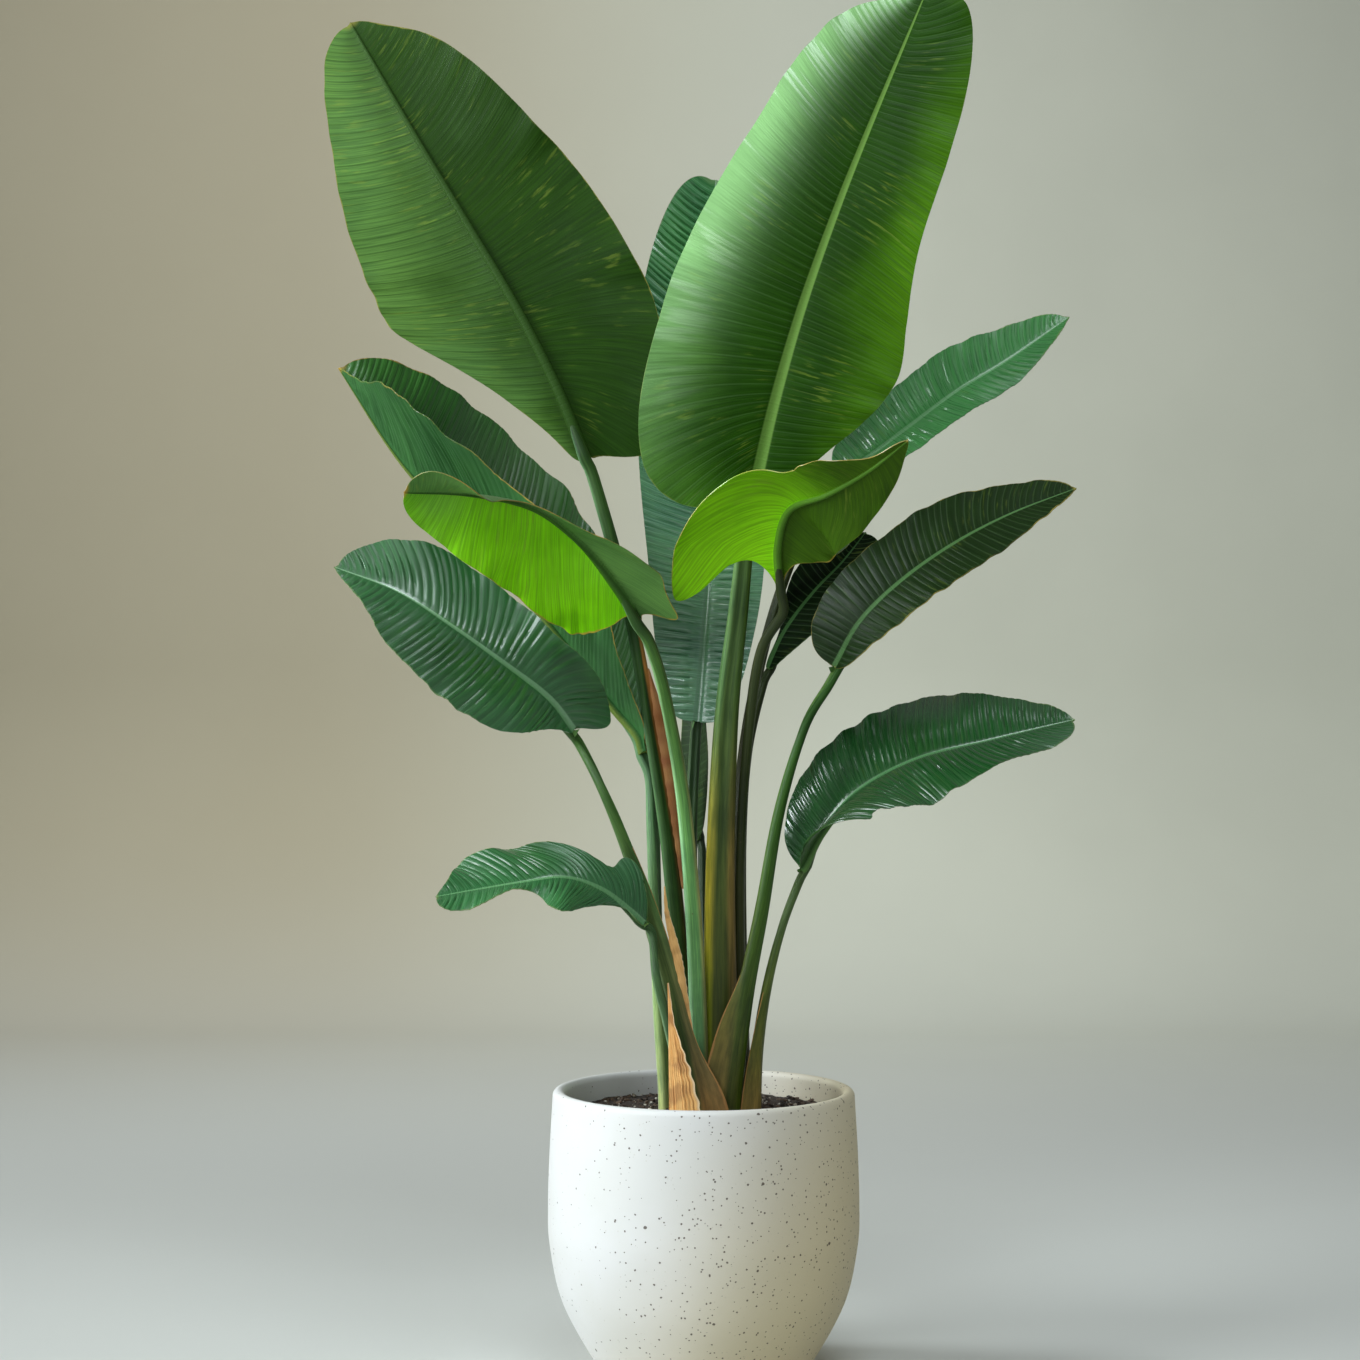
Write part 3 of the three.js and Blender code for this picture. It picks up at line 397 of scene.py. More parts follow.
# For each leaf, in mm: stalk, its middle line from the crown up; rib, the midrib's line on
# the upper face; face, the way the upper face looks at the base, the middle and the tip;
# outward, the foot's outer side; foot, its half width and half depth; top, its radius at
# the blade; wings, the widths of the two clasping margins from the foot up, and wrap, how
# little they bend round the clump; slim, how soon the stalk gets slimmer
LEAVES = {
    # the big blade at the upper left, its underside to the front
    "tall_left": dict(
        stalk=[(-17, 8, 210), (-18, 8, 270), (-22, 4, 381), (-33, 3, 507), (-52, 3, 632), (-73, 4, 745)],
        rib=[(-113, 8, 884), (-141, 2, 953), (-181, 0, 1032),
             (-228, 4, 1112), (-280, 12, 1200), (-344, 30, 1312)],
        face=[(0.15, 1, 0.1), (0.2, 1, 0.12), (0.15, 1, 0.3)], outward=(-0.5, 1), foot=(10.5, 8.5), top=6,
    ),
    # the big blade at the upper right, its upper face to the front
    "tall_right": dict(
        stalk=[(17, 2, 210), (17, 2, 270), (16, -4, 373), (16, -12, 498), (21.5, -22, 633), (33, -36, 740)],
        rib=[(48, -62, 854), (66, -75, 932), (90, -84, 1016),
             (118, -88, 1096), (151, -86, 1180), (209, -70, 1319)],
        face=[(0.05, -1, 0.1), (0, -1, 0.12), (-0.1, -1, 0.2)],
        outward=(0, 1), foot=(18.5, 10.5), top=6.4, slim=0.8,
    ),
    # the narrow upright blade behind it
    "tall_rear": dict(
        stalk=[(-14, 36, 210), (-14, 36, 270), (-11, 48, 390), (-12, 62, 520)],
        rib=[(-6, 72, 630), (1, 82, 711), (6, 92, 790), (4, 104, 901), (2, 112, 1032), (13, 115, 1174)],
        face=[(0, -1, 0.12), (0, -1, 0.14), (0.1, -1, 0.2)], outward=(-0.1, 1), foot=(9, 7), top=5.4,
    ),
    # the long blade that arches out at the left, folded along its midrib
    "long_left": dict(
        stalk=[(-37.5, 6, 210), (-37.5, 6, 270), (-42.5, 12, 351), (-46.5, 16, 455), (-49, 21, 530)],
        rib=[(-56, 24, 601), (-63, 28, 619), (-91, 40, 651), (-135, 54, 708),
             (-205, 66, 791), (-293, 72, 881), (-361, 78, 981)],
        face=[(0.2, -0.5, 0.8), (0.25, -0.58, 0.8), (0.35, -0.6, 0.7)],
        outward=(-1, 0.1), foot=(14, 6.5), top=6.3,
    ),
    # the bright blade that comes forward at the left, its underside up
    "folded_left": dict(
        stalk=[(-4, -12, 210), (-4, -12, 270), (-6, -15, 365),
               (-11, -21, 461), (-21, -31, 566), (-38, -44, 660)],
        rib=[(-61, -62, 726), (-81, -84, 758), (-114, -112, 799),
             (-155, -146, 829), (-210, -182, 839), (-268, -214, 838)],
        face=[(0.3, 0.9, 0.2), (0.1, 0.92, 0.28), (0, 0.75, 0.6)], outward=(0, -1), foot=(10, 7), top=5.6,
    ),
    # the broad glossy blade at the lower left
    "broad_left": dict(
        stalk=[(-9, -34, 210), (-9.2, -34, 265), (-28, -34, 358),
               (-49, -34, 433), (-71, -34, 503), (-96, -34, 566)],
        rib=[(-124, -30, 623), (-147, -50, 654), (-187, -68, 686),
             (-234, -78, 720), (-287, -80, 754), (-347, -72, 777)],
        face=[(0.35, -0.75, 0.5), (0.25, -0.72, 0.65), (0.2, -0.7, 0.7)],
        outward=(0, -1), foot=(10, 7), top=4.8, wings=((26, 22, 6, 3, 5, 3, 0, 0, 0), (0, 0)), wrap=-60,
    ),
    # the blade that comes forward at the right, its lower half rolled under
    "folded_right": dict(
        stalk=[(40, 12, 210), (40, 12, 270), (34, 7, 420), (36, -2, 536), (44, -16, 633), (55, -34, 700)],
        rib=[(73, -58, 754), (69, -78, 796), (79, -104, 830),
             (112, -134, 842), (149, -160, 862), (182, -184, 887)],
        face=[(0.1, 1, 0.2), (0, 0.85, 0.55), (-0.2, 0.8, 0.6)], outward=(0.95, 0.3), foot=(9, 7), top=4.8,
    ),
    # the narrow blade at the upper right
    "high_right": dict(
        stalk=[(22, 30, 210), (22, 30, 280), (28, 43, 457), (42, 53, 613), (67, 59, 729), (98, 54, 815)],
        rib=[(136, 48, 872), (167, 50, 894), (204, 52, 922),
             (250, 56, 956), (302, 64, 988), (363, 76, 1031)],
        face=[(-0.4, -0.6, 0.6), (-0.3, -0.7, 0.6), (-0.1, -0.7, 0.6)],
        outward=(0.5, 0.85), foot=(9, 6.5), top=4.4,
    ),
    # the long dark blade at the right
    "long_right": dict(
        stalk=[(26, -21, 210), (26, -21, 265), (39, -22, 365),
               (55.5, -22, 451), (72.5, -19, 546), (96, -16, 625)],
        rib=[(125, -12, 684), (149, -22, 727), (187, -30, 765),
             (236, -36, 800), (291, -36, 829), (355, -30, 854)],
        face=[(-0.6, -0.6, 0.4), (-0.35, -0.62, 0.7), (-0.1, -0.6, 0.8)],
        outward=(0.35, -0.94), foot=(12, 7), top=4.8, slim=1.6,
        wings=((0, 0), (4, 18, 14, 0, 0, 0, 0, 0, 0)), wrap=120,
    ),
    # the short dark blade behind it
    "inner_right": dict(
        stalk=[(40, 28, 210), (40, 28, 270), (37, 25, 399), (37, 27, 515), (43, 31, 600)],
        rib=[(62, 32, 683), (80, 44, 720), (109, 62, 758), (138, 77, 788), (162, 87, 818)],
        face=[(-0.6, -0.7, 0.4), (-0.4, -0.7, 0.5), (-0.2, -0.7, 0.6)],
        outward=(0.8, 0.6), foot=(8, 6), top=4.4,
    ),
    # the small wavy blade low at the left
    "small_left": dict(
        stalk=[(-25, -39, 210), (-25, -39, 262), (-26, -42, 305), (-35, -50, 348), (-45, -56, 390)],
        rib=[(-56, -58, 441), (-70, -70, 455), (-96, -86, 476),
             (-130, -99, 488), (-170, -108, 484), (-248, -114, 471)],
        face=[(0.35, -0.92, 0.3), (0.15, -0.6, 0.8), (-0.1, -0.55, 0.85)],
        outward=(-0.5, -1), foot=(6, 5), top=4.2,
    ),
    # the low arched blade at the right
    "low_right": dict(
        stalk=[(49, -13, 210), (49, -13, 265), (52, -14, 320), (61, -10, 378), (75, -2, 432)],
        rib=[(95, 8, 489), (113, 0, 525), (148, -8, 565),
             (205, -14, 596), (276, -16, 614), (356, -12, 633)],
        face=[(-0.6, -0.6, 0.4), (-0.35, -0.6, 0.7), (0, -0.6, 0.8)],
        outward=(0.85, -0.5), foot=(10, 6), top=4.2, wings=((0, 0), (20, 17, 7, 0, 0, 0)), wrap=400,
    ),
    # the narrow dark blade in the middle, behind the stalks
    "inner_rear": dict(
        stalk=[(5, 40, 210), (5, 40, 270), (3, 56, 350), (-1, 74, 430)],
        rib=[(-7, 86, 511), (-12, 102, 562), (-8, 130, 631), (3, 168, 712), (15, 210, 796)],
        face=[(-0.9, -0.5, 0.2), (-0.7, -0.6, 0.4), (-0.4, -0.6, 0.6)],
        outward=(0.1, 1), foot=(8, 6), top=4.2,
    ),
}


def smooth_step(x):
    """0 to 1, eased at both ends, as x goes from 0 to 1."""
    x = np.clip(x, 0, 1)
    return x * x * (3 - 2 * x)


def between(values, t):
    """A smooth line through evenly spaced values, read as t goes from 0 to 1."""
    values = np.asarray(values, float)
    spot = np.clip(t, 0, 1) * (len(values) - 1)
    k = np.minimum(spot.astype(int), len(values) - 2)
    f = spot - k
    rise = np.zeros_like(values)
    rise[1:-1] = (values[2:] - values[:-2]) / 2
    if values.ndim > 1:
        f = f[..., None]
    ease = smooth_step(f)
    return (values[k] * (1 - ease) + values[k + 1] * ease
            + rise[k] * f * (1 - f) ** 2 - rise[k + 1] * f**2 * (1 - f))


def unit(v):
    return v / np.maximum(np.linalg.norm(v, axis=-1, keepdims=True), 1e-9)


def square_to(v, along):
    """The part of each v that is square to along, at length 1."""
    return unit(v - (v * along).sum(-1, keepdims=True) * along)


class Line:
    """A smooth line through points, read by the length along it, straight beyond its ends."""

    def __init__(self, points):
        self.points = smooth_line(points, 60)
        gaps = np.linalg.norm(np.diff(self.points, axis=0), axis=1)
        self.marks = np.concatenate([[0], np.cumsum(gaps)])
        self.length = self.marks[-1]
        self.slopes = unit(np.gradient(self.points, self.marks, axis=0))

    def read(self, table, a):
        return np.stack([np.interp(a, self.marks, table[:, i]) for i in range(3)], axis=-1)

    def tangent(self, a):
        return unit(self.read(self.slopes, a))

    def at(self, a):
        beyond = a - np.clip(a, 0, self.length)
        return self.read(self.points, a) + self.tangent(a) * beyond[..., None]


def face_at(leaf, rib, a):
    """The way the upper face looks at a mm along the midrib, square to it."""
    return square_to(between(leaf["face"], a / rib.length), rib.tangent(a))


def stalk_rings(leaf):
    """Middle, right, out, half width, half depth, height share and wings of each ring of a stalk;
    the last rings run out as a tail under the blade's midrib."""
    rib = Line(leaf["rib"])
    start = np.zeros(1)
    ahead, under = rib.tangent(start), -face_at(leaf, rib, start)
    top = leaf["top"]
    drop = top + BLADE_SEAT + CLEARANCE
    seat = rib.at(start - 1.3 * CLEARANCE) + under * drop
    path = Line([*leaf["stalk"], *(seat - ahead * 4 * top), *seat])
    t = np.linspace(0, 1, STALK_STEPS)
    up = path.tangent(t * path.length)
    foot_side = np.array([*leaf["outward"], 0.0])
    out = square_to(foot_side * (1 - t**3)[:, None] + under * (t**3)[:, None], up)
    slim = (1 - t) ** leaf.get("slim", SLIMMING)
    wide = top + (leaf["foot"][0] - top) * slim
    deep = top + (leaf["foot"][1] - top) * slim
    # the tail runs along under the midrib and thins out into it
    k = np.linspace(0, 1, TAIL_STEPS + 1)[1:]
    a = k * 11 * top
    tail_out = -face_at(leaf, rib, a)
    thin = top * (1 - k) ** 0.8 + 0.3
    tail = rib.at(a) + tail_out * np.maximum(drop * (1 - k) ** 1.5, thin + 1.6)[:, None]
    middle = np.vstack([path.at(t * path.length), tail])
    up = np.vstack([up, rib.tangent(a)])
    out = np.vstack([out, tail_out])
    share = np.concatenate([t, np.ones(TAIL_STEPS)])
    wings = [np.concatenate([np.maximum(between(w, t), 0), np.zeros(TAIL_STEPS)])
             for w in leaf.get("wings", ((0, 0), (0, 0)))]
    return (middle, np.cross(up, out), out, np.concatenate([wide, thin]), np.concatenate([deep, thin]),
            share, wings)


def store(mesh, name, values, kind="FLOAT"):
    """Keeps one value, or one colour, for each corner of the mesh, for its material to read."""
    layer = mesh.attributes.new(name, kind, "POINT")
    layer.data.foreach_set("value" if kind == "FLOAT" else "color", np.asarray(values, np.float32).ravel())


def set_corners(mesh, corners):
    mesh.vertices.foreach_set("co", (np.asarray(corners) * MM).astype(np.float32).ravel())
    mesh.update()


def rod(sides, rings):
    """A capped rod cut into rings; returns it with each corner's turn round it and ring number."""
    deselect_all()
    bpy.ops.mesh.primitive_cylinder_add(vertices=sides, radius=1, depth=rings - 1, end_fill_type="NGON")
    piece = bpy.context.object
    mesh = piece.data
    bpy.ops.object.mode_set(mode="EDIT")
    bpy.ops.mesh.select_mode(type="EDGE")
    bpy.ops.mesh.select_all(action="DESELECT")
    bpy.ops.object.mode_set(mode="OBJECT")
    for edge in mesh.edges:
        a, b = (mesh.vertices[i].co for i in edge.vertices)
        edge.select = abs(a.z - b.z) > 0.5
    bpy.ops.object.mode_set(mode="EDIT")
    bpy.ops.mesh.subdivide(number_cuts=rings - 2)
    bpy.ops.object.mode_set(mode="OBJECT")
    co = np.array([v.co for v in mesh.vertices])
    ring = np.rint(co[:, 2] + (rings - 1) / 2).astype(int)
    return piece, np.arctan2(co[:, 1], co[:, 0]), ring


# The colours of each stalk from its foot to its blade: its body, then its left and its right
# edge as seen from the front. The edge colours are partly painted light and shade, the left
# edges painted lighter where the light from the left falls on them, and partly the stalks'
# own tan and dry strips
REAR_TONES = [(0.03, 0.06, 0.02), (0.03, 0.06, 0.02), (0.03, 0.07, 0.02)]
DARK_TONES = [(0.02, 0.04, 0.015), (0.02, 0.04, 0.015), (0.02, 0.04, 0.012)]
BROWN_TONES = [(0.05, 0.05, 0.016), (0.03, 0.036, 0.009), (0.03, 0.045, 0.01)]
BROWN_EDGE = [(0.05, 0.05, 0.016), (0.04, 0.04, 0.012), (0.05, 0.06, 0.02)]
SMALL_TONES = [(0.13, 0.15, 0.05), (0.07, 0.13, 0.05), (0.05, 0.11, 0.035)]
STALK_TONES = {
    "tall_left": (
        [(0.05, 0.07, 0.02), (0.03, 0.08, 0.016), (0.032, 0.08, 0.016)],
        [(0.08, 0.12, 0.04), (0.07, 0.16, 0.055), (0.16, 0.29, 0.14)],
        [(0.15, 0.1, 0.03), (0.05, 0.06, 0.016), (0.12, 0.07, 0.016), (0.42, 0.16, 0.035),
         (0.05, 0.1, 0.02)]),
    "tall_right": (
        [(0.05, 0.062, 0.012), (0.045, 0.068, 0.012), (0.055, 0.11, 0.025)],
        [(0.17, 0.19, 0.015), (0.2, 0.23, 0.015), (0.46, 0.38, 0.035), (0.13, 0.24, 0.07),
         (0.2, 0.36, 0.12)],
        [(0.09, 0.08, 0.02), (0.12, 0.09, 0.03), (0.17, 0.12, 0.03), (0.05, 0.09, 0.015),
         (0.05, 0.1, 0.012)]),
    "tall_rear": (REAR_TONES, [(0.05, 0.09, 0.03), (0.05, 0.09, 0.03), (0.06, 0.12, 0.04)], REAR_TONES),
    "long_left": (
        [(0.42, 0.46, 0.18), (0.26, 0.4, 0.14), (0.075, 0.17, 0.07)],
        [(0.58, 0.6, 0.36), (0.4, 0.58, 0.3), (0.15, 0.28, 0.14)],
        [(0.25, 0.22, 0.07), (0.12, 0.18, 0.05), (0.1, 0.2, 0.09)]),
    "folded_left": (
        [(0.13, 0.26, 0.12), (0.14, 0.34, 0.1), (0.055, 0.14, 0.025)],
        [(0.2, 0.3, 0.16), (0.34, 0.64, 0.32), (0.26, 0.46, 0.2)],
        [(0.09, 0.1, 0.02), (0.3, 0.32, 0.12), (0.07, 0.12, 0.03)]),
    "broad_left": (
        [(0.08, 0.13, 0.03), (0.06, 0.09, 0.02), (0.045, 0.11, 0.02)],
        [(0.1, 0.16, 0.05), (0.18, 0.26, 0.11), (0.06, 0.14, 0.03)],
        [(0.3, 0.16, 0.05), (0.2, 0.17, 0.06), (0.07, 0.15, 0.04), (0.06, 0.13, 0.03)]),
    "folded_right": (
        BROWN_TONES,
        [(0.05, 0.04, 0.012), (0.04, 0.04, 0.012), (0.05, 0.06, 0.02)],
        [(0.05, 0.05, 0.02), (0.05, 0.06, 0.025), (0.05, 0.07, 0.02)]),
    "high_right": (BROWN_TONES, BROWN_EDGE, BROWN_EDGE),
    "long_right": (
        [(0.07, 0.078, 0.018), (0.042, 0.09, 0.01), (0.035, 0.11, 0.016)],
        [(0.28, 0.19, 0.06), (0.08, 0.12, 0.02), (0.1, 0.2, 0.04)],
        [(0.07, 0.1, 0.01), (0.04, 0.1, 0.01), (0.02, 0.07, 0.01)]),
    "inner_right": (BROWN_TONES, BROWN_TONES, BROWN_TONES),
    "small_left": (SMALL_TONES, [(0.35, 0.42, 0.2), (0.28, 0.42, 0.2), (0.1, 0.2, 0.08)], SMALL_TONES),
    "low_right": (
        [(0.26, 0.16, 0.055), (0.12, 0.14, 0.02), (0.07, 0.12, 0.035)],
        [(0.28, 0.22, 0.06), (0.13, 0.15, 0.02), (0.08, 0.13, 0.04)],
        [(0.2, 0.12, 0.04), (0.1, 0.14, 0.02), (0.08, 0.14, 0.04)]),
    "inner_rear": (DARK_TONES, DARK_TONES, DARK_TONES),
}


def mark(tree, name, kind="Fac"):
    """What the mesh's own attribute of that name says at each spot."""
    return add(tree, "Attribute", attribute_name=name).outputs[kind]


stalk_skin, tree, skin = material("stalk_skin", Roughness=0.42, Specular_IOR_Level=0.25)
grain_way = mark(tree, "grain", "Color")
dryness = mark(tree, "dry")
streaks = noisy(tree, grain_way, 9, 5, 0.65)
threads = noisy(tree, grain_way, 34, 3)
place = object_place(tree)
clouds = noisy(tree, place, 16, 4)
freckles = specks(tree, place, 0.011, 0.0011, 0.25)
shade = mixed(tree, ramp(tree, streaks, 0.32, 0.7), (0.68, 0.72, 0.74), (1.35, 1.28, 1.2))
green = mixed(tree, 1.0, mark(tree, "tint_and_edge_light", "Color"), shade, "MULTIPLY")
shade = mixed(tree, ramp(tree, clouds, 0.42, 0.7), (1.0, 1.0, 1.0), (0.62, 0.68, 0.7))
green = mixed(tree, 1.0, green, shade, "MULTIPLY")
green = mixed(tree, times(tree, freckles, 0.55), green, (0.1, 0.07, 0.03))
husk_tone = mixed(tree, threads, (0.55, 0.3, 0.09), (0.26, 0.12, 0.045))
worn = plus(tree, dryness, times(tree, calc(tree, "SUBTRACT", threads, 0.5), 0.7))
green = mixed(tree, ramp(tree, worn, 0.42, 0.58), green, husk_tone)
rough = ramp(tree, plus(tree, streaks, dryness), 0.3, 1.2, 0.36, 0.75)
dress(tree, skin, green, rough, plus(tree, streaks, threads), 0.35, 0.0006)

for name, leaf in LEAVES.items():
    middle, right, out, wide, deep, share, wings = stalk_rings(leaf)
    piece, turn, ring = rod(STALK_SIDES, len(share))
    cos, sin = np.cos(turn), np.sin(turn)
    # each wing is a fin that tapers from the rod to a thin margin
    fin_right, fin_left = np.maximum(cos, 0) ** WING_SHARPNESS, np.maximum(-cos, 0) ** WING_SHARPNESS
    fin = fin_right * wings[0][ring] - fin_left * wings[1][ring]
    wrap = fin * np.abs(fin) / leaf.get("wrap", WING_WRAP) * np.sign(fin)
    inner = np.maximum(-sin, 0) ** 8 * np.clip((share[ring] - 0.25) * 3, 0, 1)
    thin_fin = 1 - 0.75 * np.clip(np.abs(fin) / WING_THIN_AT, 0, 1)
    corners = (middle[ring]
               + right[ring] * (wide[ring] * cos + fin)[:, None]
               + out[ring] * (deep[ring] * sin * thin_fin - wrap + inner * GROOVE * deep[ring])[:, None])
    set_corners(piece.data, corners)
    # painted light and shade: the edges facing left and right get their own colours, the left ones lit by
    # the light from the left
    facing = unit(corners - middle[ring])[:, :1]
    body, at_left, at_right = (between(tones, share[ring] * 1.15) for tones in STALK_TONES[name])
    left_edge, right_edge = smooth_step((-facing - 0.5) / 0.42), smooth_step((facing - 0.5) / 0.42)
    tint_and_edge_light = body + (at_left - body) * left_edge + (at_right - body) * right_edge
    store(piece.data, "tint_and_edge_light", np.hstack([tint_and_edge_light, np.ones((len(tint_and_edge_light), 1))]), "FLOAT_COLOR")
    grain = np.column_stack([cos * 0.5, sin * 0.5, share[ring] * 1.3 + len(name), np.ones(len(cos))])
    store(piece.data, "grain", grain, "FLOAT_COLOR")
    edge = np.clip(np.abs(fin) / np.maximum(wings[0][ring] + wings[1][ring], 1), 0, 1)
    margin = (np.abs(cos) > 0.995) * np.clip(1 - share[ring] * 3.2, 0, 1)
    store(piece.data, "dry", np.clip((edge - 0.7) * 2.2, 0, 1) + 0.55 * margin)
    faces_out()
    settle(piece, f"{name}_stalk", [stalk_skin], [f"stalk_{name}"], angle=60)

# ---- dry sheath ----
# What is left of the oldest leaf: a papery orange-brown strip bent round the front of
# the clump, split at its right edge and drawn out to a point at its top.
SHEATH_MIDDLE = (-12, -30)
SHEATH_BOTTOM = 210
SHEATH_TOP = 385
SHEATH_SPIKE = 345    # above this it runs out into a thin point
SHEATH_ACROSS = 48
SHEATH_UP = 90
SHEATH_THICKNESS = 1.0
SHEATH_RADIUS = 30
SHEATH_WIDENS = 6
SHEATH_LEFT = 226      # degrees round its middle
SHEATH_RIGHT = 300
CREASE = 0.55
FINE_CREASE = 0.25


def sheet_grid(across, up):
    """A flat grid of faces; returns it with each corner's column and row number."""
    deselect_all()
    bpy.ops.mesh.primitive_grid_add(x_subdivisions=across, y_subdivisions=up, size=2)
    piece = bpy.context.object
    co = np.array([v.co for v in piece.data.vertices])
    return (piece, np.rint((co[:, 0] + 1) / 2 * across).astype(int),
            np.rint((co[:, 1] + 1) / 2 * up).astype(int))


def ripple(t, waves, seed):
    """An uneven wave of height about 1 along t, of so many waves."""
    draw = random.Random(seed)
    total = np.zeros_like(t)
    for _ in range(5):
        total += math.sqrt(0.4) * np.sin(2 * math.pi * (waves * draw.uniform(0.45, 1.7) * t + draw.random()))
    return total


def apply(kind, **values):
    """Adds a modifier to the active piece and makes it part of the mesh."""
    bpy.ops.object.modifier_add(type=kind)
    modifier = bpy.context.object.modifiers[-1]
    for key, value in values.items():
        setattr(modifier, key, value)
    bpy.ops.object.modifier_apply(modifier=modifier.name)


piece, column, row = sheet_grid(SHEATH_ACROSS, SHEATH_UP)
s, t = column / SHEATH_ACROSS, row / SHEATH_UP
height = SHEATH_BOTTOM + (SHEATH_TOP - SHEATH_BOTTOM) * t
rise = np.clip((height - SHEATH_BOTTOM) / (SHEATH_SPIKE - SHEATH_BOTTOM), 0, 1)
spike = np.clip((height - SHEATH_SPIKE) / (SHEATH_TOP - SHEATH_SPIKE), 0, 1)
start, end = np.radians(SHEATH_LEFT + 6 * rise), np.radians(SHEATH_RIGHT - 56 * rise**1.6 - 11.3 * spike)
end = end - np.radians(2.2) * (1 + ripple(t, 9, 5)) * (1 - t)
turn = start + (end - start) * s
creases = CREASE * ripple(s, 7, 21) + FINE_CREASE * ripple(s, 17, 22)
lifted = 2.0 * np.clip(s - 0.86, 0, 1) / 0.14 * np.clip(1.2 - t, 0, 1)
radius = SHEATH_RADIUS + SHEATH_WIDENS * t + creases * 0.5 + lifted
set_corners(piece.data, np.column_stack([
    SHEATH_MIDDLE[0] + radius * np.cos(turn),
    SHEATH_MIDDLE[1] + radius * np.sin(turn),
    height,
]))
store(piece.data, "along", s)
store(piece.data, "up", t)
store(piece.data, "browned", 0.25 * t)
bpy.context.view_layer.objects.active = piece
apply("SOLIDIFY", thickness=SHEATH_THICKNESS * MM, offset=0)

paper, tree, skin = material("dry_husk", Roughness=0.75)
across, upward, browned = mark(tree, "along"), mark(tree, "up"), mark(tree, "browned")
fibre_way = add(tree, "CombineXYZ", {"X": times(tree, across, 16), "Y": times(tree, upward, 1.6)}).outputs[0]
fibres = noisy(tree, fibre_way, 3, 6)
stains = noisy(tree, object_place(tree), 38, 5)
straw = mixed(tree, ramp(tree, fibres, 0.38, 0.62), (0.95, 0.58, 0.21), (0.76, 0.38, 0.11))
straw = mixed(tree, ramp(tree, stains, 0.5, 0.66, 0.0, 0.7), straw, (0.4, 0.18, 0.06))
straw = mixed(tree, ramp(tree, across, 0.9, 0.99, 0.0, 0.8), straw, (0.95, 0.78, 0.5))
straw = mixed(tree, browned, straw, (0.26, 0.085, 0.02))
relief = plus(tree, fibres, times(tree, stains, 0.5))
dress(tree, skin, straw, ramp(tree, stains, 0.3, 0.7, 0.6, 0.85), relief, 0.7, 0.0008)
settle(piece, "papery_sheath", [paper], ["dry_sheath"], angle=50)

# ---- dry shreds ----
# Two long papery shreds that have come loose from the edges of old sheaths and dried
# between the stalks: thin strips that follow a line and curl a little along their middle.
SHRED_ACROSS = 8
SHRED_UP = 70
SHRED_THICKNESS = 0.7
SHRED_RAGGED = 0.12
SHRED_WRINKLE = 0.4
SHRED_FIBRES = 1.8
TOWARDS_VIEWER = np.array([0.0, -1.0, 0.0])
SHREDS = {
    # from the foot of the clump up beside the left stalk
    "lower_shred": dict(
        line=[(-13, -33, 330), (-17.5, -33, 362), (-22, -34, 389), (-26, -34, 409),
              (-31, -34, 430), (-35.5, -32, 450), (-37.5, -29, 474)],
        width=[7, 7, 8, 9, 7, 4, 0.6], curl=1.2, browned=0.1, node="stalk_broad_left",
    ),
    # higher up, along the stalk of the big left blade
    "upper_shred": dict(
        line=[(-19, -2, 470), (-22.5, -3, 505), (-27, -4, 540), (-32, -5, 575),
              (-37, -6, 605), (-44, -8, 640), (-53, -10, 682)],
        width=[4, 8, 10, 11, 11, 9, 0.6], curl=1.5, browned=1.0, node="stalk_tall_left",
    ),
}

for name, shred in SHREDS.items():
    piece, column, row = sheet_grid(SHRED_ACROSS, SHRED_UP)
    s, t = column / SHRED_ACROSS, row / SHRED_UP
    middle, width = between(shred["line"], t), between(np.array(shred["width"])[:, None], t)[:, 0]
    ragged = 1 + SHRED_RAGGED * ripple(t, 14, len(name)) * np.abs(s - 0.5)
    before, after = (between(shred["line"], np.clip(t + step, 0, 1)) for step in (-0.02, 0.02))
    aside = unit(np.cross(unit(after - before), np.array([0.25, -1.0, 0.0])))
    bowl = np.cos(math.pi * (s - 0.5)) * shred["curl"] + SHRED_WRINKLE * ripple(t, 9, 3)
    set_corners(piece.data, middle + aside * (width * (s - 0.5) * ragged)[:, None]
                + TOWARDS_VIEWER * bowl[:, None])
    store(piece.data, "along", s)
    store(piece.data, "up", t * SHRED_FIBRES)
    store(piece.data, "browned", shred["browned"] * (0.88 + 0.12 * np.clip(ripple(t, 5, 8), -1, 1)))
    bpy.context.view_layer.objects.active = piece
    apply("SOLIDIFY", thickness=SHRED_THICKNESS * MM, offset=0)
    settle(piece, name, [paper], [shred["node"]], angle=50)

# ---- blades ----
# The leaf blades: leathery paddles a little under a millimetre thick, stiffened by a keel
# under the midrib and pleated along the side veins, with a thin dry yellow margin.

# For each blade: half, the width of its left and right half in mm, as seen on its upper face
# with the tip up; skew, blunt, point and form shape the outline; fold, curl and sweep are in
# degrees from the base to the tip; wave is height, count and phase; veins, the distance of
# the side veins and relief, the depth of their pleats, in mm. Upper, under, midrib and keel
# are its colours, and glow the colour of painted light coming through the blade; glowing says
# how much of that each half has at the midrib and at the margin, from the base to the tip,
# and sheen how strong a painted pale sheen of reflected light along its margin is. Flecks and
# under_veins say how clear those marks are, dry how brown the margin is, rough and coat how
# glossy the upper face is, and shine and under_shine how much light each face throws back
PLAIN_BLADE = dict(
    fold=[(8, 8, 8), (8, 8, 8)], curl=[(-10, -10, -10), (-10, -10, -10)], wave=(3, 2, 0.2),
    glow=(0.07, 0.2, 0.02), keel=(0.1, 0.22, 0.05), glowing=([(0, 0), (0, 0)], [(0, 0), (0, 0)]),
    coat=0, dry=0.15, shine=0.5, under_shine=0.2, under_veins=0.45,
)
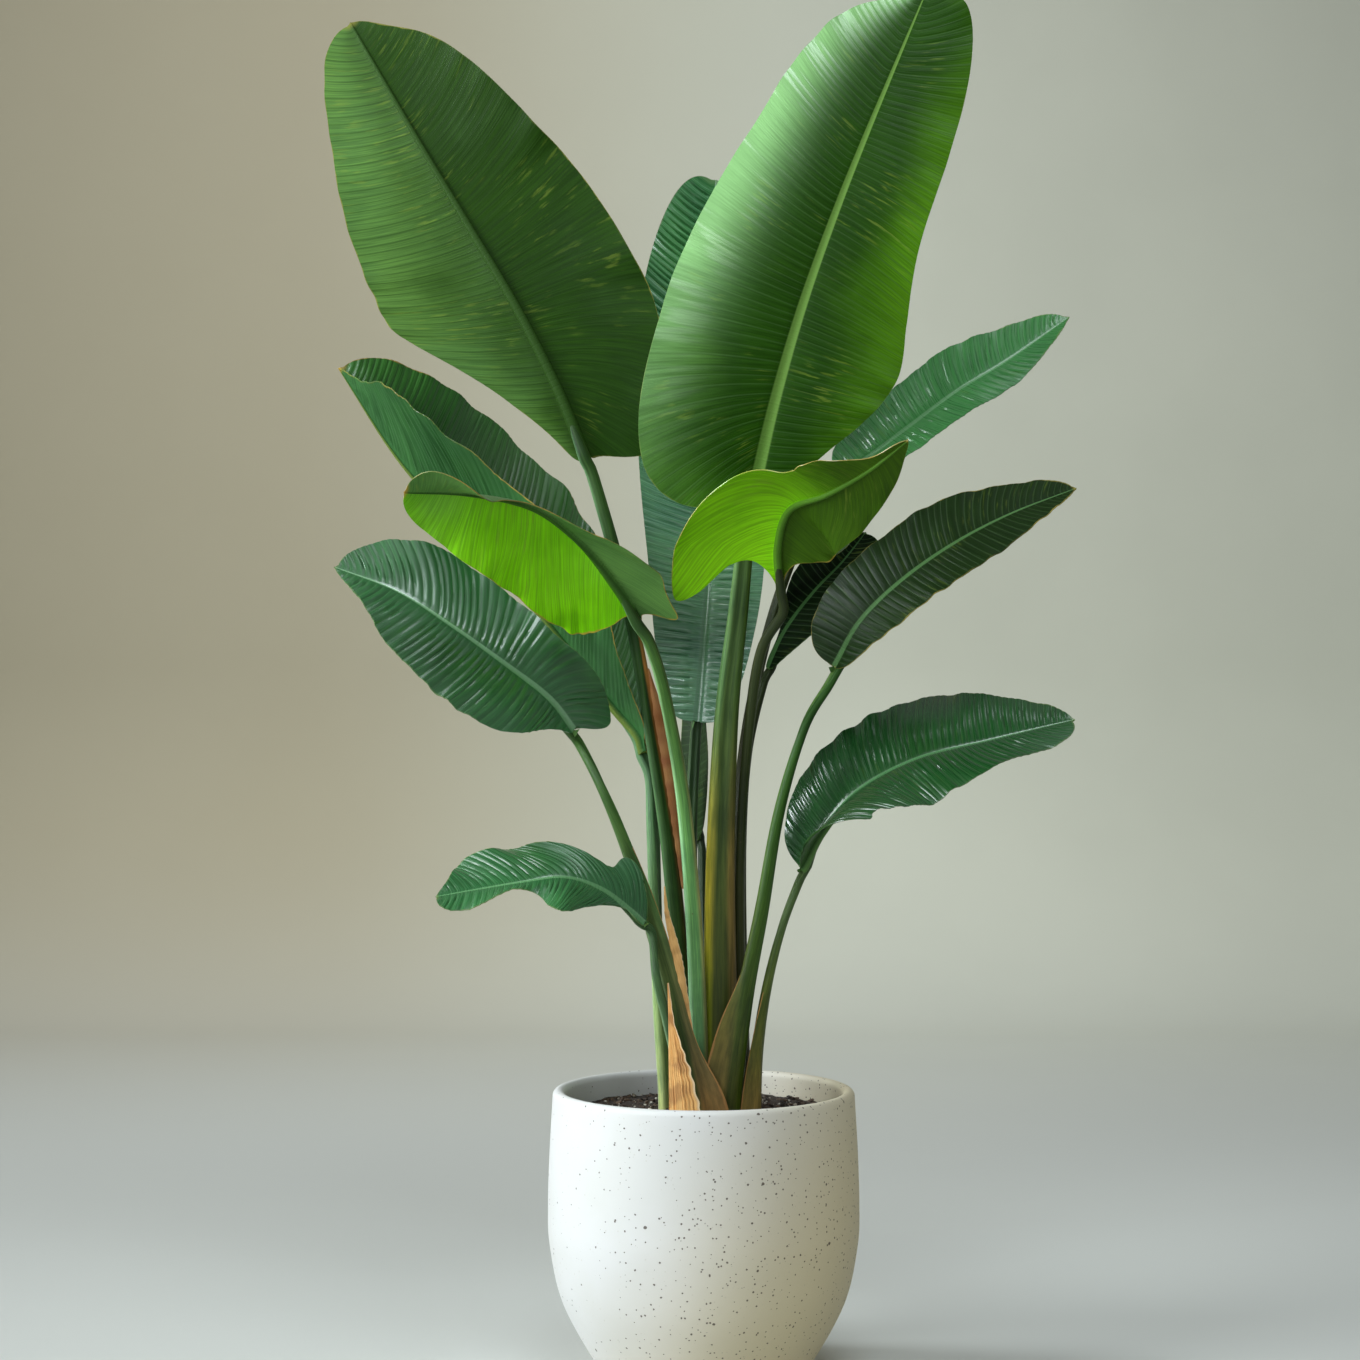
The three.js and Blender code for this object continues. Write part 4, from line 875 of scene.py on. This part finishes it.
BLADES = {
    "tall_left": dict(
        half=(120, 116), skew=0.8, blunt=0.36, point=0.62, rib_width=9,
        form=[(0.16, 0.86, 1.04, 1.0, 0.92, 0.89, 0.84, 0.65),
              (0.26, 0.56, 1.02, 1.0, 0.95, 0.91, 0.89, 0.92)],
        fold=[(6, 8, 4), (6, 8, 4)], curl=[(-10, -8, -20), (-25, -30, -20)],
        sweep=[(-60, -24, 12, 24, 22), (16, 28, 17, 23, 36)],
        wave=(4, 2.5, 0.1), veins=8, relief=0.45, flecks=0.25, rough=0.42, coat=0.1,
        upper=(0.05, 0.14, 0.03), under=(0.014, 0.048, 0.002), glow=(0.1, 0.22, 0.045),
        midrib=(0.2, 0.34, 0.1), keel=(0.03, 0.075, 0.012), under_shine=0.1,
        glowing=([(0, 0.15), (0, 0.05), (0.05, 0.1), (0.1, 0.2)],
                 [(0.3, 0.6), (0.25, 0.75), (0.35, 0.9), (0.4, 0.95), (0.4, 0.8)]),
        dry=0.5,
    ),
    "tall_right": dict(
        half=(146, 100), skew=0.74, blunt=0.38, point=0.62, rib_width=13,
        form=[(0.39, 0.9, 0.89, 0.81, 0.75, 0.76, 0.75, 0.53),
              (0.73, 0.97, 1.08, 0.99, 0.91, 1.02, 1.21, 1.36)],
        fold=[(10, 8, 4), (10, 8, 4)], curl=[(-30, -30, -15), (-12, -20, -15)],
        sweep=[(-57, -8, 18, 30, 34), (14, -3, -16, 4, 46)],
        wave=(4, 2.5, 0.4), veins=7.5, relief=0.55, flecks=0.3, rough=0.42,
        upper=(0.012, 0.05, 0.001), under=(0.09, 0.2, 0.04), glow=(0.12, 0.33, 0.008),
        midrib=(0.14, 0.27, 0.05), keel=(0.12, 0.26, 0.05), shine=0.1,
        sheen=((0, 0.4, 1.6, 1.7, 1.4, 1.2), (0, 0)),
        glowing=([(0, 0.3), (0, 0.25), (0, 0.15), (0, 0.15), (0.05, 0.15)],
                 [(0, 0.2), (0, 0.45), (0, 0.6), (0, 0.4), (0, 0.2)]),
        dry=0.3,
    ),
    # painted light: its upper face is painted lighter than the others' greens, and its glow is a pale
    # painted sheen of reflected light low on the blade
    "tall_rear": dict(
        half=(72, 58), skew=0.86, blunt=0.3, point=0.42, rib_width=9,
        form=[(0.75, 0.86, 0.95, 1, 1.05, 1.1), (0.95, 1, 1, 1, 0.9, 0.8)],
        fold=[(10, 14, 8), (10, 14, 8)], sweep=[(-4, 26, 30), (-4, 10, 30)],
        veins=8, relief=2.6, flecks=0.2, rough=0.24, coat=1.0,
        upper=(0.07, 0.28, 0.09), under=(0.04, 0.12, 0.03), glow=(0.2, 0.44, 0.28),
        midrib=(0.16, 0.36, 0.2),
        glowing=([(0.9, 0.9), (0.7, 0.8), (0.3, 0.3), (0, 0)], [(0.9, 0.9), (0.7, 0.8), (0.3, 0.3), (0, 0)]),
        dry=0.1, shine=0.8,
    ),
    "long_left": dict(
        half=(84, 112), skew=0.75, blunt=0.5, point=0.7, rib_width=8,
        form=[(1.2, 1.47, 1.41, 1.22, 1.36, 1.52, 1.29, 0.84),
              (0.56, 0.79, 0.98, 1.13, 1.21, 1.21, 1.19, 1.26)],
        fold=[(62, 70, 60), (20, 14, 20)], curl=[(10, 10, 0), (0, -8, 0)],
        sweep=[(27, 27, 50, 42, 32), (38, 26, 22, 30, 36)],
        veins=7, relief=1.2, flecks=0, rough=0.32, coat=0.5,
        upper=(0.05, 0.19, 0.035), under=(0.035, 0.125, 0.035),
        midrib=(0.22, 0.26, 0.06), keel=(0.14, 0.2, 0.03), under_shine=0.12, dry=1,
    ),
    "folded_left": dict(
        half=(64, 124), skew=0.66, blunt=0.42, point=0.62, rib_width=9,
        form=[(0.12, 0.6, 0.66, 0.76, 0.2, 0.36, 1.69, 2.5),
              (0.05, 0.22, 0.41, 0.58, 0.73, 0.82, 0.77, 0.67)],
        fold=[(0, -25, -62, -62, -20), (0, 0, 0)], curl=[(-10, -20, -20), (-10, -10, 0)],
        sweep=[(-60, -60, -49, -4, 21), (-60, -60, -54, -7, 25)],
        wave=(4, 2, 0.2), veins=8, relief=0.22, flecks=0.3, rough=0.42,
        upper=(0.05, 0.13, 0.03), under=(0.11, 0.25, 0.06), glow=(0.25, 0.74, 0.003),
        midrib=(0.12, 0.26, 0.06), keel=(0.03, 0.09, 0.012), under_shine=0.1,
        glowing=([(0, 0), (0, 0)], [(0.7, 1.0), (0.8, 1.0), (0.8, 1.0), (0.4, 0.6)]), dry=1,
        under_veins=0.15,
    ),
    "broad_left": dict(
        half=(75, 100), skew=0.7, blunt=0.46, point=0.74, rib_width=8,
        form=[(0.26, 0.84, 1.04, 1.1, 1.04, 1.05, 0.9, 0.78),
              (0.56, 0.61, 0.58, 0.75, 0.84, 0.8, 0.83, 0.9)],
        fold=[(6, 8, 10), (24, 8, 10)], curl=[(-10, -15, -10), (-10, -15, -10)],
        sweep=[(15, 12, 12, 14, 12), (-52, -15, 24, 37, 40)],
        wave=(3, 2.5, 0.2), veins=7.5, relief=1.4, flecks=0, rough=0.42, coat=1.0,
        upper=(0.018, 0.115, 0.028), under=(0.04, 0.12, 0.03), midrib=(0.17, 0.36, 0.17), shine=0.6,
    ),
    "folded_right": dict(
        half=(88, 118), skew=0.66, blunt=0.42, point=0.7, rib_width=8,
        form=[(0.05, 0.18, 0.54, 0.66, 0.83, 0.86, 0.8, 0.56),
              (0.05, 0.25, 0.82, 0.8, 0.42, 0.56, 0.2, 0.31)],
        fold=[(0, 0, 0), (0, 0, 0)], curl=[(-10, -10, -10), (-20, -60, -130)],
        sweep=[(-29, -41, -45, -33, -13), (41, -33, -17, -17, -17)],
        wave=(4, 2, 0.5), veins=8, relief=0.2, flecks=0.3, rough=0.3, coat=0.5,
        upper=(0.035, 0.11, 0.035), under=(0.045, 0.11, 0.004), glow=(0.27, 0.7, 0.006),
        midrib=(0.12, 0.26, 0.06), keel=(0.08, 0.2, 0.02), under_shine=0.1,
        glowing=([(0.1, 0.2), (0, 0.1), (0, 0.1), (0, 0)], [(0.9, 1.0), (0.8, 1.0), (0.1, 0.3), (0, 0)]),
        dry=0.8, under_veins=0.15,
    ),
    "high_right": dict(
        half=(60, 38), skew=0.74, blunt=0.4, point=0.8, rib_width=7,
        form=[(1, 1, 0.9, 0.9, 0.9, 1), (1, 1, 1, 1, 0.95, 1)], sweep=[(0, 20, 40), (0, 20, 40)],
        veins=7, relief=1.1, flecks=0.15, rough=0.32, coat=0.3,
        upper=(0.028, 0.165, 0.035), under=(0.05, 0.14, 0.04), midrib=(0.12, 0.28, 0.12), shine=0.4,
    ),
    # painted shade: its upper face is painted almost black for the shade it lies in
    "long_right": dict(
        half=(71, 52), skew=0.7, blunt=0.5, point=0.76, rib_width=7.5,
        form=[(1, 1, 0.95, 0.9, 0.9, 1), (0.8, 0.9, 1, 1, 1, 1)],
        fold=[(8, 10, 10), (8, 8, 8)], curl=[(-10, -15, -10), (-10, -15, -10)],
        sweep=[(-8, 16, 36), (14, 16, 36)], veins=7, relief=0.5, flecks=0.15, rough=0.4,
        upper=(0.006, 0.019, 0.002), under=(0.04, 0.11, 0.03), midrib=(0.07, 0.16, 0.05), dry=0.6,
        shine=0.1,
    ),
    # painted shade: its upper face is painted almost black for the shade it lies in
    "inner_right": dict(
        half=(44, 60), skew=0.72, blunt=0.42, point=0.7, rib_width=6,
        form=[(0.1, 0.12, 0.5, 0.9, 1, 1), (0.36, 0.6, 0.88, 1, 1, 1)], sweep=[(0, 16, 36), (0, 16, 36)],
        wave=(2, 2, 0.2), veins=7, relief=0.8, flecks=0.1, rough=0.5,
        upper=(0.002, 0.007, 0.001), under=(0.03, 0.09, 0.03), midrib=(0.04, 0.1, 0.03), dry=0, shine=0.03,
    ),
    "small_left": dict(
        half=(44, 66), skew=0.66, blunt=0.5, point=0.6, rib_width=6,
        form=[(0.22, 0.09, 1.11, 0.98, 0.41, 0.6, 1.22, 2.06),
              (1.21, 0.47, 0.67, 0.83, 0.83, 0.99, 0.89, 0.55)],
        curl=[(-10, -15, -10), (-10, -15, -10)], sweep=[(58, 44, 30, 14, 21), (39, 51, 39, 36, 19)],
        wave=(5, 3, 0.2), veins=6.5, relief=1.1, flecks=0, rough=0.3, coat=0.35,
        upper=(0.028, 0.13, 0.04), under=(0.05, 0.14, 0.04), midrib=(0.12, 0.3, 0.12), dry=0.2,
    ),
    "low_right": dict(
        half=(78, 72), skew=0.66, blunt=0.5, point=0.78, rib_width=6.5,
        form=[(0.79, 0.97, 0.94, 1.05, 1.25, 1.22, 1.3, 1.65),
              (1.75, 1.1, 0.96, 0.92, 0.83, 0.73, 0.9, 0.91)],
        fold=[(8, 10, 10), (60, 8, 8)], curl=[(-10, -15, -20), (-10, -15, -15)],
        sweep=[(6, 9, 10, 10, 16), (46, 35, 20, 40, 58)],
        wave=(4, 2.5, 0.4), veins=6.5, relief=1.1, flecks=0.1, rough=0.3, coat=0.8,
        upper=(0.01, 0.068, 0.014), under=(0.05, 0.13, 0.03), midrib=(0.08, 0.22, 0.08), shine=0.3,
    ),
    # painted shade: its upper face is painted a near-black green for the shade behind the stalks
    "inner_rear": dict(
        half=(44, 44), skew=0.75, blunt=0.5, point=0.7, rib_width=6,
        form=[(0.5, 0.5, 0.4, 0.4, 0.5, 0.5), (0.9, 0.8, 0.45, 0.15, 0.1, 0.1)],
        sweep=[(0, 16, 36), (0, 16, 36)], wave=(2, 2, 0.2), veins=7, relief=0.3, flecks=0.1, rough=0.5,
        upper=(0.012, 0.03, 0.006), under=(0.03, 0.08, 0.02), midrib=(0.04, 0.1, 0.03), shine=0.1,
    ),
}
BLADE_THICKNESS = 0.8
VEIN_STEPS = 6
END_STEPS = 14
END_REACH = 0.03
PLEAT_PATCHES = 5
KEEL_DEPTH = 1.5
GROOVE_DEPTH = 0.16
MARGIN_WAVES = 0.014
SIDE_SHIFT = 1.7
PLEATS_FROM_RIB = 9
DRY_TIP = 0.985
MARGIN_DARK = 0.6
MERGE_WITHIN = 0.00003
NO_SHEEN = ((0, 0), (0, 0))
COLUMNS = [0.0, 0.35, 0.7, 1.0]     # over half the midrib, from its middle
FIELD = [0.05, 0.11, 0.18, 0.26, 0.34, 0.42, 0.5, 0.58, 0.66, 0.74, 0.81, 0.87, 0.92, 0.96, 0.985, 1.0]


def half_width(shape, t, side):
    """How wide that half is at t along the midrib, in mm."""
    s = np.clip(t, 1e-5, 1 - 1e-5)
    power = shape["blunt"] * (1 - s) + shape["point"] * s
    return (shape["half"][side] * np.sin(np.pi * s ** shape["skew"]) ** power
            * between(shape["form"][side], s))


def blade_corners(leaf, shape, rib, t, d, side, width):
    """Points of the upper face, t along the midrib and d mm out from it on one half."""
    reach = np.clip(d / np.maximum(width, 1), 0, 1)
    clear = np.maximum(0, d - shape["rib_width"] / 2)
    lean = np.tan(np.radians(between(shape["sweep"][side], t)))
    along = t * rib.length + clear * lean * (0.6 + 0.4 * reach)
    share = np.clip(along / rib.length, 0, 1)
    forward = rib.tangent(along)
    up = square_to(between(leaf["face"], share), forward)
    across = np.cross(forward, up) * (1 if side else -1)
    fold = np.radians(between(shape["fold"][side], share))
    bend = np.radians(between(shape["curl"][side], share)) / shape["half"][side]
    bend = np.where(np.abs(bend) < 1e-7, 1e-7, bend)
    out = (np.sin(fold + bend * d) - np.sin(fold)) / bend
    lift = (np.cos(fold) - np.cos(fold + bend * d)) / bend
    height, count, phase = shape["wave"]
    lift += (height * reach**2 * np.sqrt(np.sin(np.pi * np.clip(t, 0, 1)))
             * np.sin(2 * np.pi * (count * t + phase) + (SIDE_SHIFT if side else 0)))
    # small uneven waves in the margin itself
    lift += MARGIN_WAVES * width * reach**4 * ripple(t, 9, side + int(shape["half"][0]))
    return rib.at(along) + across * out[:, None] + up * lift[:, None]


def vein_marks(length, spacing, seed):
    """Where the side veins leave the midrib, unevenly spaced, in mm from its base."""
    draw = random.Random(seed)
    marks = [0.0]
    while marks[-1] < length:
        marks.append(marks[-1] + spacing * draw.uniform(0.7, 1.3))
    return np.array(marks) * length / marks[-1]


def blade(name, leaf, shape, paints):
    """The blade itself: each half's outline, its pleats, its keel and the marks its paints read."""
    rib = Line(leaf["rib"])
    seed = len(name) * 7 + int(shape["half"][0])
    marks = vein_marks(rib.length, shape["veins"], seed)
    numbers = np.arange(len(marks))
    ends = END_REACH * np.linspace(0, 1, END_STEPS) ** 2.4
    fine_numbers = np.arange(0, (len(marks) - 1) * VEIN_STEPS + 1) / VEIN_STEPS
    steps = np.interp(fine_numbers, numbers, marks) / rib.length
    steps = steps[(steps > END_REACH) & (steps < 1 - END_REACH)]
    t_rows = np.concatenate([ends, steps, 1 - ends[::-1]])
    phase_rows = np.interp(t_rows * rib.length, marks, numbers)
    spots = COLUMNS + [1 + f for f in FIELD]
    half_count = len(spots) - 1
    piece, column, row = sheet_grid(2 * half_count, len(t_rows) - 1)
    t, phase = t_rows[row], phase_rows[row]
    spot = np.array(spots)[np.abs(column - half_count)]
    rib_half = shape["rib_width"] * 0.5 * (1 - t) ** 0.8 + 0.5
    corners = np.zeros((len(t), 3))
    width, d = np.zeros(len(t)), np.zeros(len(t))
    for side in (0, 1):
        mine = (column > half_count) if side else (column <= half_count)
        w = half_width(shape, t[mine], side)
        near = np.minimum(rib_half[mine], 0.3 * w)
        d[mine] = near * np.minimum(spot[mine], 1) + (w - near) * np.maximum(spot[mine] - 1, 0)
        width[mine] = w
        corners[mine] = blade_corners(leaf, shape, rib, t[mine], d[mine], side, w)
    set_corners(piece.data, corners)
    # pleats along the side veins, and the groove over the midrib, square to the surface
    normals = np.zeros(len(t) * 3)
    piece.data.vertices.foreach_get("normal", normals)
    normals = normals.reshape(-1, 3)
    reach = d / np.maximum(width, 1)
    patchy = np.random.default_rng(seed).uniform(0.3, 1.5, (len(marks), PLEAT_PATCHES + 1))
    spot_across = reach * PLEAT_PATCHES
    k = np.minimum(phase.astype(int), len(marks) - 2)
    j = np.minimum(spot_across.astype(int), PLEAT_PATCHES - 1)
    f, g = phase - k, spot_across - j
    strength = ((patchy[k, j] * (1 - g) + patchy[k, j + 1] * g) * (1 - f)
                + (patchy[k + 1, j] * (1 - g) + patchy[k + 1, j + 1] * g) * f)
    fade = (smooth_step((d - rib_half) / PLEATS_FROM_RIB) * (1 - 0.55 * reach**3)
            * smooth_step(np.minimum(t, 1 - t) / 0.02))
    pleat = (np.abs(np.sin(np.pi * phase)) ** 0.8 - 0.5) * shape["relief"] * strength * fade
    groove = -GROOVE_DEPTH * rib_half * np.clip(1 - (d / rib_half) ** 2, 0, 1)
    corners = corners + normals * (pleat + groove)[:, None]
    set_corners(piece.data, corners)
    side = (column > half_count).astype(int)
    rounded = np.sqrt(np.clip(1 - (d / (rib_half + 0.01)) ** 2, 0, 1))
    keel = np.where(spot > 1, BLADE_THICKNESS, BLADE_THICKNESS + KEEL_DEPTH * rib_half * rounded)
    deepest = keel.max()
    group = piece.vertex_groups.new(name="keel")
    for corner, depth in enumerate(keel):
        group.add([corner], float(depth / deepest), "REPLACE")
    outer = smooth_step(reach) ** 1.5
    # painted light: glow, light coming through each half, and sheen, a pale painted reflection near the
    # margin
    glow, sheen = np.zeros(len(t)), np.zeros(len(t))
    for half in (0, 1):
        near_rib, near_margin = between(shape["glowing"][half], t).T
        glow = np.where(side == half, near_rib + (near_margin - near_rib) * outer, glow)
        pale = between(shape.get("sheen", NO_SHEEN)[half], t) * outer**2
        sheen = np.where(side == half, pale, sheen)
    for key, values in {
        "across": d * np.where(side == 1, 1, -1) * MM, "vein": phase, "edge": (width - d) * MM,
        "rib": np.clip(1 - d / rib_half, 0, 1), "glow": glow, "sheen": sheen,
        "dry": smooth_step((t - DRY_TIP) / 0.015),
    }.items():
        store(piece.data, key, values)
    for paint in paints:
        piece.data.materials.append(paint)
    bpy.context.view_layer.objects.active = piece
    apply("SOLIDIFY", thickness=deepest * MM, offset=-1, vertex_group="keel", material_offset=1)
    faces_out(MERGE_WITHIN)
    kept = [face.material_index for face in piece.data.polygons]
    settle(piece, f"{name}_blade", paints, [f"blade_{name}"], angle=55)
    piece.data.polygons.foreach_set("material_index", kept)


def leaf_marks():
    """The pattern that both faces of every blade share, as masks and a height."""
    group = bpy.data.node_groups.new("leaf_marks", "ShaderNodeTree")
    for socket in ("Veins", "Lines", "Clouds", "Flecks", "Midrib", "Margin", "Height"):
        group.interface.new_socket(name=socket, in_out="OUTPUT", socket_type="NodeSocketFloat")
    end = group.nodes.new("NodeGroupOutput")
    across, vein, edge, rib, dry = (mark(group, key) for key in ("across", "vein", "edge", "rib", "dry"))
    place = object_place(group)
    # 1 on each side vein, 0 between
    near = calc(group, "ABSOLUTE", calc(group, "SUBTRACT", calc(group, "FRACT", vein), 0.5))
    veins = ramp(group, near, 0.36, 0.5)
    # fine parallel lines between the veins, and short flecks here and there
    flow = add(group, "CombineXYZ", {"X": times(group, across, 22), "Y": times(group, vein, 6)}).outputs[0]
    lines = noisy(group, flow, 1, 3, noise_dimensions="2D")
    dash = add(group, "CombineXYZ", {"X": times(group, across, 34), "Y": times(group, vein, 2.3)}).outputs[0]
    flecks = ramp(group, noisy(group, dash, 1, 4, noise_dimensions="2D"), 0.57, 0.72)
    flecks = times(group, flecks, ramp(group, noisy(group, place, 17), 0.45, 0.65))
    # a dry margin that is wider and clearer in places
    reach = times(group, ramp(group, noisy(group, place, 70, 3), 0.3, 0.75, 0.25, 1.9), MARGIN_DARK * MM)
    margin = calc(group, "SUBTRACT", 1.0, ramp(group, calc(group, "DIVIDE", edge, reach), 0.6, 1.3))
    margin = times(group, margin, ramp(group, noisy(group, place, 8), 0.42, 0.6, 0.12, 1.0))
    height = plus(group, times(group, lines, 0.9), times(group, veins, -0.5))
    found = {"Veins": veins, "Lines": lines, "Clouds": noisy(group, place, 11, 4), "Flecks": flecks,
             "Midrib": ramp(group, rib, 0.02, 0.35), "Margin": calc(group, "MAXIMUM", margin, dry),
             "Height": plus(group, height, times(group, noisy(group, place, 700), 0.25))}
    for key, value in found.items():
        group.links.new(value, end.inputs[key])
    return group


marks_group = leaf_marks()
VEIN_PALE = (0.2, 0.36, 0.14)
FLECK_TONE = (0.24, 0.33, 0.04)
MARGIN_BROWN = (0.5, 0.3, 0.05)
MARGIN_GREEN = (0.16, 0.28, 0.08)
SHEEN_TONE = (0.26, 0.52, 0.19)


def leaf_paint(name, shape, plain, rib_tone, vein_tone, vein_share, roughness, shine,
               gloss=0.0, shines=False):
    """One face of a blade: its own green, with painted light where light comes through and, where it shines,
    a painted sheen, over the shared pattern.
    """
    paint, tree, skin = material(name, Roughness=roughness, Coat_Roughness=0.16, Coat_Weight=gloss,
                                 Specular_IOR_Level=shine)
    marks = add(tree, "Group", node_tree=marks_group).outputs
    # painted light: the glow colour stands in for light coming through the blade
    uneven = times(tree, calc(tree, "SUBTRACT", marks["Clouds"], 0.5), 1.1)
    glow = ramp(tree, plus(tree, mark(tree, "glow"), uneven), 0.0, 1.0)
    green = mixed(tree, glow, plain, shape["glow"])
    shade = mixed(tree, ramp(tree, marks["Clouds"], 0.3, 0.7), (1.2, 1.18, 1.1), (0.72, 0.78, 0.8))
    green = mixed(tree, 1.0, green, shade, "MULTIPLY")
    streak = mixed(tree, ramp(tree, marks["Lines"], 0.3, 0.7), (0.78, 0.8, 0.8), (1.16, 1.14, 1.1))
    green = mixed(tree, 1.0, green, streak, "MULTIPLY")
    dry = shape["dry"]
    margin_tone = [dry * c + (1 - dry) * p for c, p in zip(MARGIN_BROWN, MARGIN_GREEN)]
    for key, share, tone in (("Veins", vein_share, vein_tone), ("Flecks", shape["flecks"], FLECK_TONE),
                             ("Midrib", 0.85, rib_tone), ("Margin", 0.35 + 0.5 * dry, margin_tone)):
        green = mixed(tree, times(tree, marks[key], share), green, tone)
    rough = plus(tree, ramp(tree, marks["Lines"], 0.3, 0.7, roughness - 0.07, roughness + 0.07),
                 times(tree, marks["Margin"], 0.2))
    # painted sheen: a pale reflection of the light along the margin, with more coat there
    if shines:
        soft = times(tree, mark(tree, "sheen"), ramp(tree, marks["Lines"], 0.2, 0.8, 0.7, 1.0))
        green = mixed(tree, times(tree, soft, 0.75), green, SHEEN_TONE)
        tree.links.new(plus(tree, times(tree, soft, 0.6), gloss), skin.inputs["Coat Weight"])
    dress(tree, skin, green, rough, marks["Height"], 0.5, 0.0005)
    return paint


for name in BLADES:
    shape = {**PLAIN_BLADE, **BLADES[name]}
    pale = [0.75 * c + 0.25 * p for c, p in zip(shape["upper"], VEIN_PALE)]
    dark = [0.8 * c for c in shape["under"]]
    blade(name, LEAVES[name], shape, [
        leaf_paint(f"{name}_upper", shape, shape["upper"], shape["midrib"], pale, 0.3,
                   shape["rough"], shape["shine"], shape["coat"], "sheen" in shape),
        leaf_paint(f"{name}_under", shape, shape["under"], shape["keel"], dark, shape["under_veins"],
                   0.55, shape["under_shine"]),
    ])

# ---- floor, wall and light ----
# A pale floor that turns up into a wall with painted shade towards the left; a large soft light
# from the left, weaker ones from the left behind, above, the front and on the wall, and a little all round.
ROOM_HALF_WIDTH = 6.0
WALL_DISTANCE = 3.3
COVE_RADIUS = 0.7
COVE_STEPS = 24
WALL_HEIGHT = 5.0
FLOOR_FRONT = -5.0
BACKDROP_ROWS = COVE_STEPS + 2

cove = [(WALL_DISTANCE - COVE_RADIUS + COVE_RADIUS * math.sin(turn), COVE_RADIUS * (1 - math.cos(turn)))
        for turn in np.linspace(0, math.pi / 2, COVE_STEPS + 1)]
deselect_all()
bpy.ops.mesh.primitive_grid_add(x_subdivisions=1, y_subdivisions=BACKDROP_ROWS, size=2)
backdrop = bpy.context.object
section = [(FLOOR_FRONT, 0.0), *cove, (WALL_DISTANCE, WALL_HEIGHT)]
for corner in backdrop.data.vertices:
    y, z = section[round((corner.co.y + 1) / 2 * BACKDROP_ROWS)]
    corner.co = Vector((corner.co.x * ROOM_HALF_WIDTH, y, z))
bpy.ops.object.shade_smooth()
backdrop.name = "backdrop"
wall_paint_and_shade, tree, skin = material("wall_paint_and_shade", Roughness=0.9)
place = object_place(tree)
sides = add(tree, "SeparateXYZ", {0: place}).outputs
roller = noisy(tree, place, 2, 3)
wall = mixed(tree, ramp(tree, roller, 0.3, 0.7), (0.66, 0.665, 0.555), (0.63, 0.635, 0.53))
# painted shade: the wall is painted darker and browner towards the left
wall = mixed(tree, ramp(tree, sides["X"], -0.9, 0.4, 0.75, 0.0), wall, (0.41, 0.345, 0.22))
back_and_up = plus(tree, sides["Y"], times(tree, sides["Z"], 2))
wall = mixed(tree, ramp(tree, back_and_up, 1.1, 4.1), (0.6, 0.61, 0.575), wall)
tree.links.new(wall, skin.inputs["Base Color"])
tree.links.new(ramp(tree, roller, 0.3, 0.7, 0.85, 0.95), skin.inputs["Roughness"])
backdrop.data.materials.append(wall_paint_and_shade)


def soft_light(name, place, towards, size, power, tone, spread):
    bpy.ops.object.light_add(type="AREA", location=place)
    light = bpy.context.object
    light.name = name
    light.data.shape = "DISK"
    light.data.size = size
    light.data.energy = power
    light.data.color = tone
    light.data.spread = math.radians(spread)
    light.rotation_euler = (Vector(towards) - Vector(place)).to_track_quat("-Z", "Y").to_euler()


soft_light("window", (-3.0, -1.3, 1.5), (0, 0, 0.7), 1.9, 42, (0.9, 0.97, 1.0), 110)
soft_light("skylight", (0.3, -1.6, 3.0), (0, 0, 0.75), 1.2, 10, (0.86, 0.95, 1.0), 100)
soft_light("ceiling", (0.2, 0.1, 3.1), (0, 0, 0.8), 0.7, 0.6, (0.86, 0.95, 1.0), 80)
soft_light("side", (-2.2, 0.5, 2.1), (0.15, 0, 0.55), 0.8, 3.4, (0.88, 0.96, 1.0), 50)
soft_light("wall", (-0.7, 0.8, 4.4), (-0.5, 3.3, 0.8), 2.4, 21, (0.93, 0.98, 1.0), 80)
soft_light("front", (-1.4, -3.4, 1.5), (0, 0, 0.6), 1.3, 8, (0.9, 0.97, 1.0), 110)
world = bpy.data.worlds.new("room")
bpy.context.scene.world = world
world.use_nodes = True
world.node_tree.nodes["Background"].inputs["Color"].default_value = (0.95, 0.98, 1.0, 1)
world.node_tree.nodes["Background"].inputs["Strength"].default_value = 0.24
bpy.context.scene.view_settings.view_transform = "Standard"
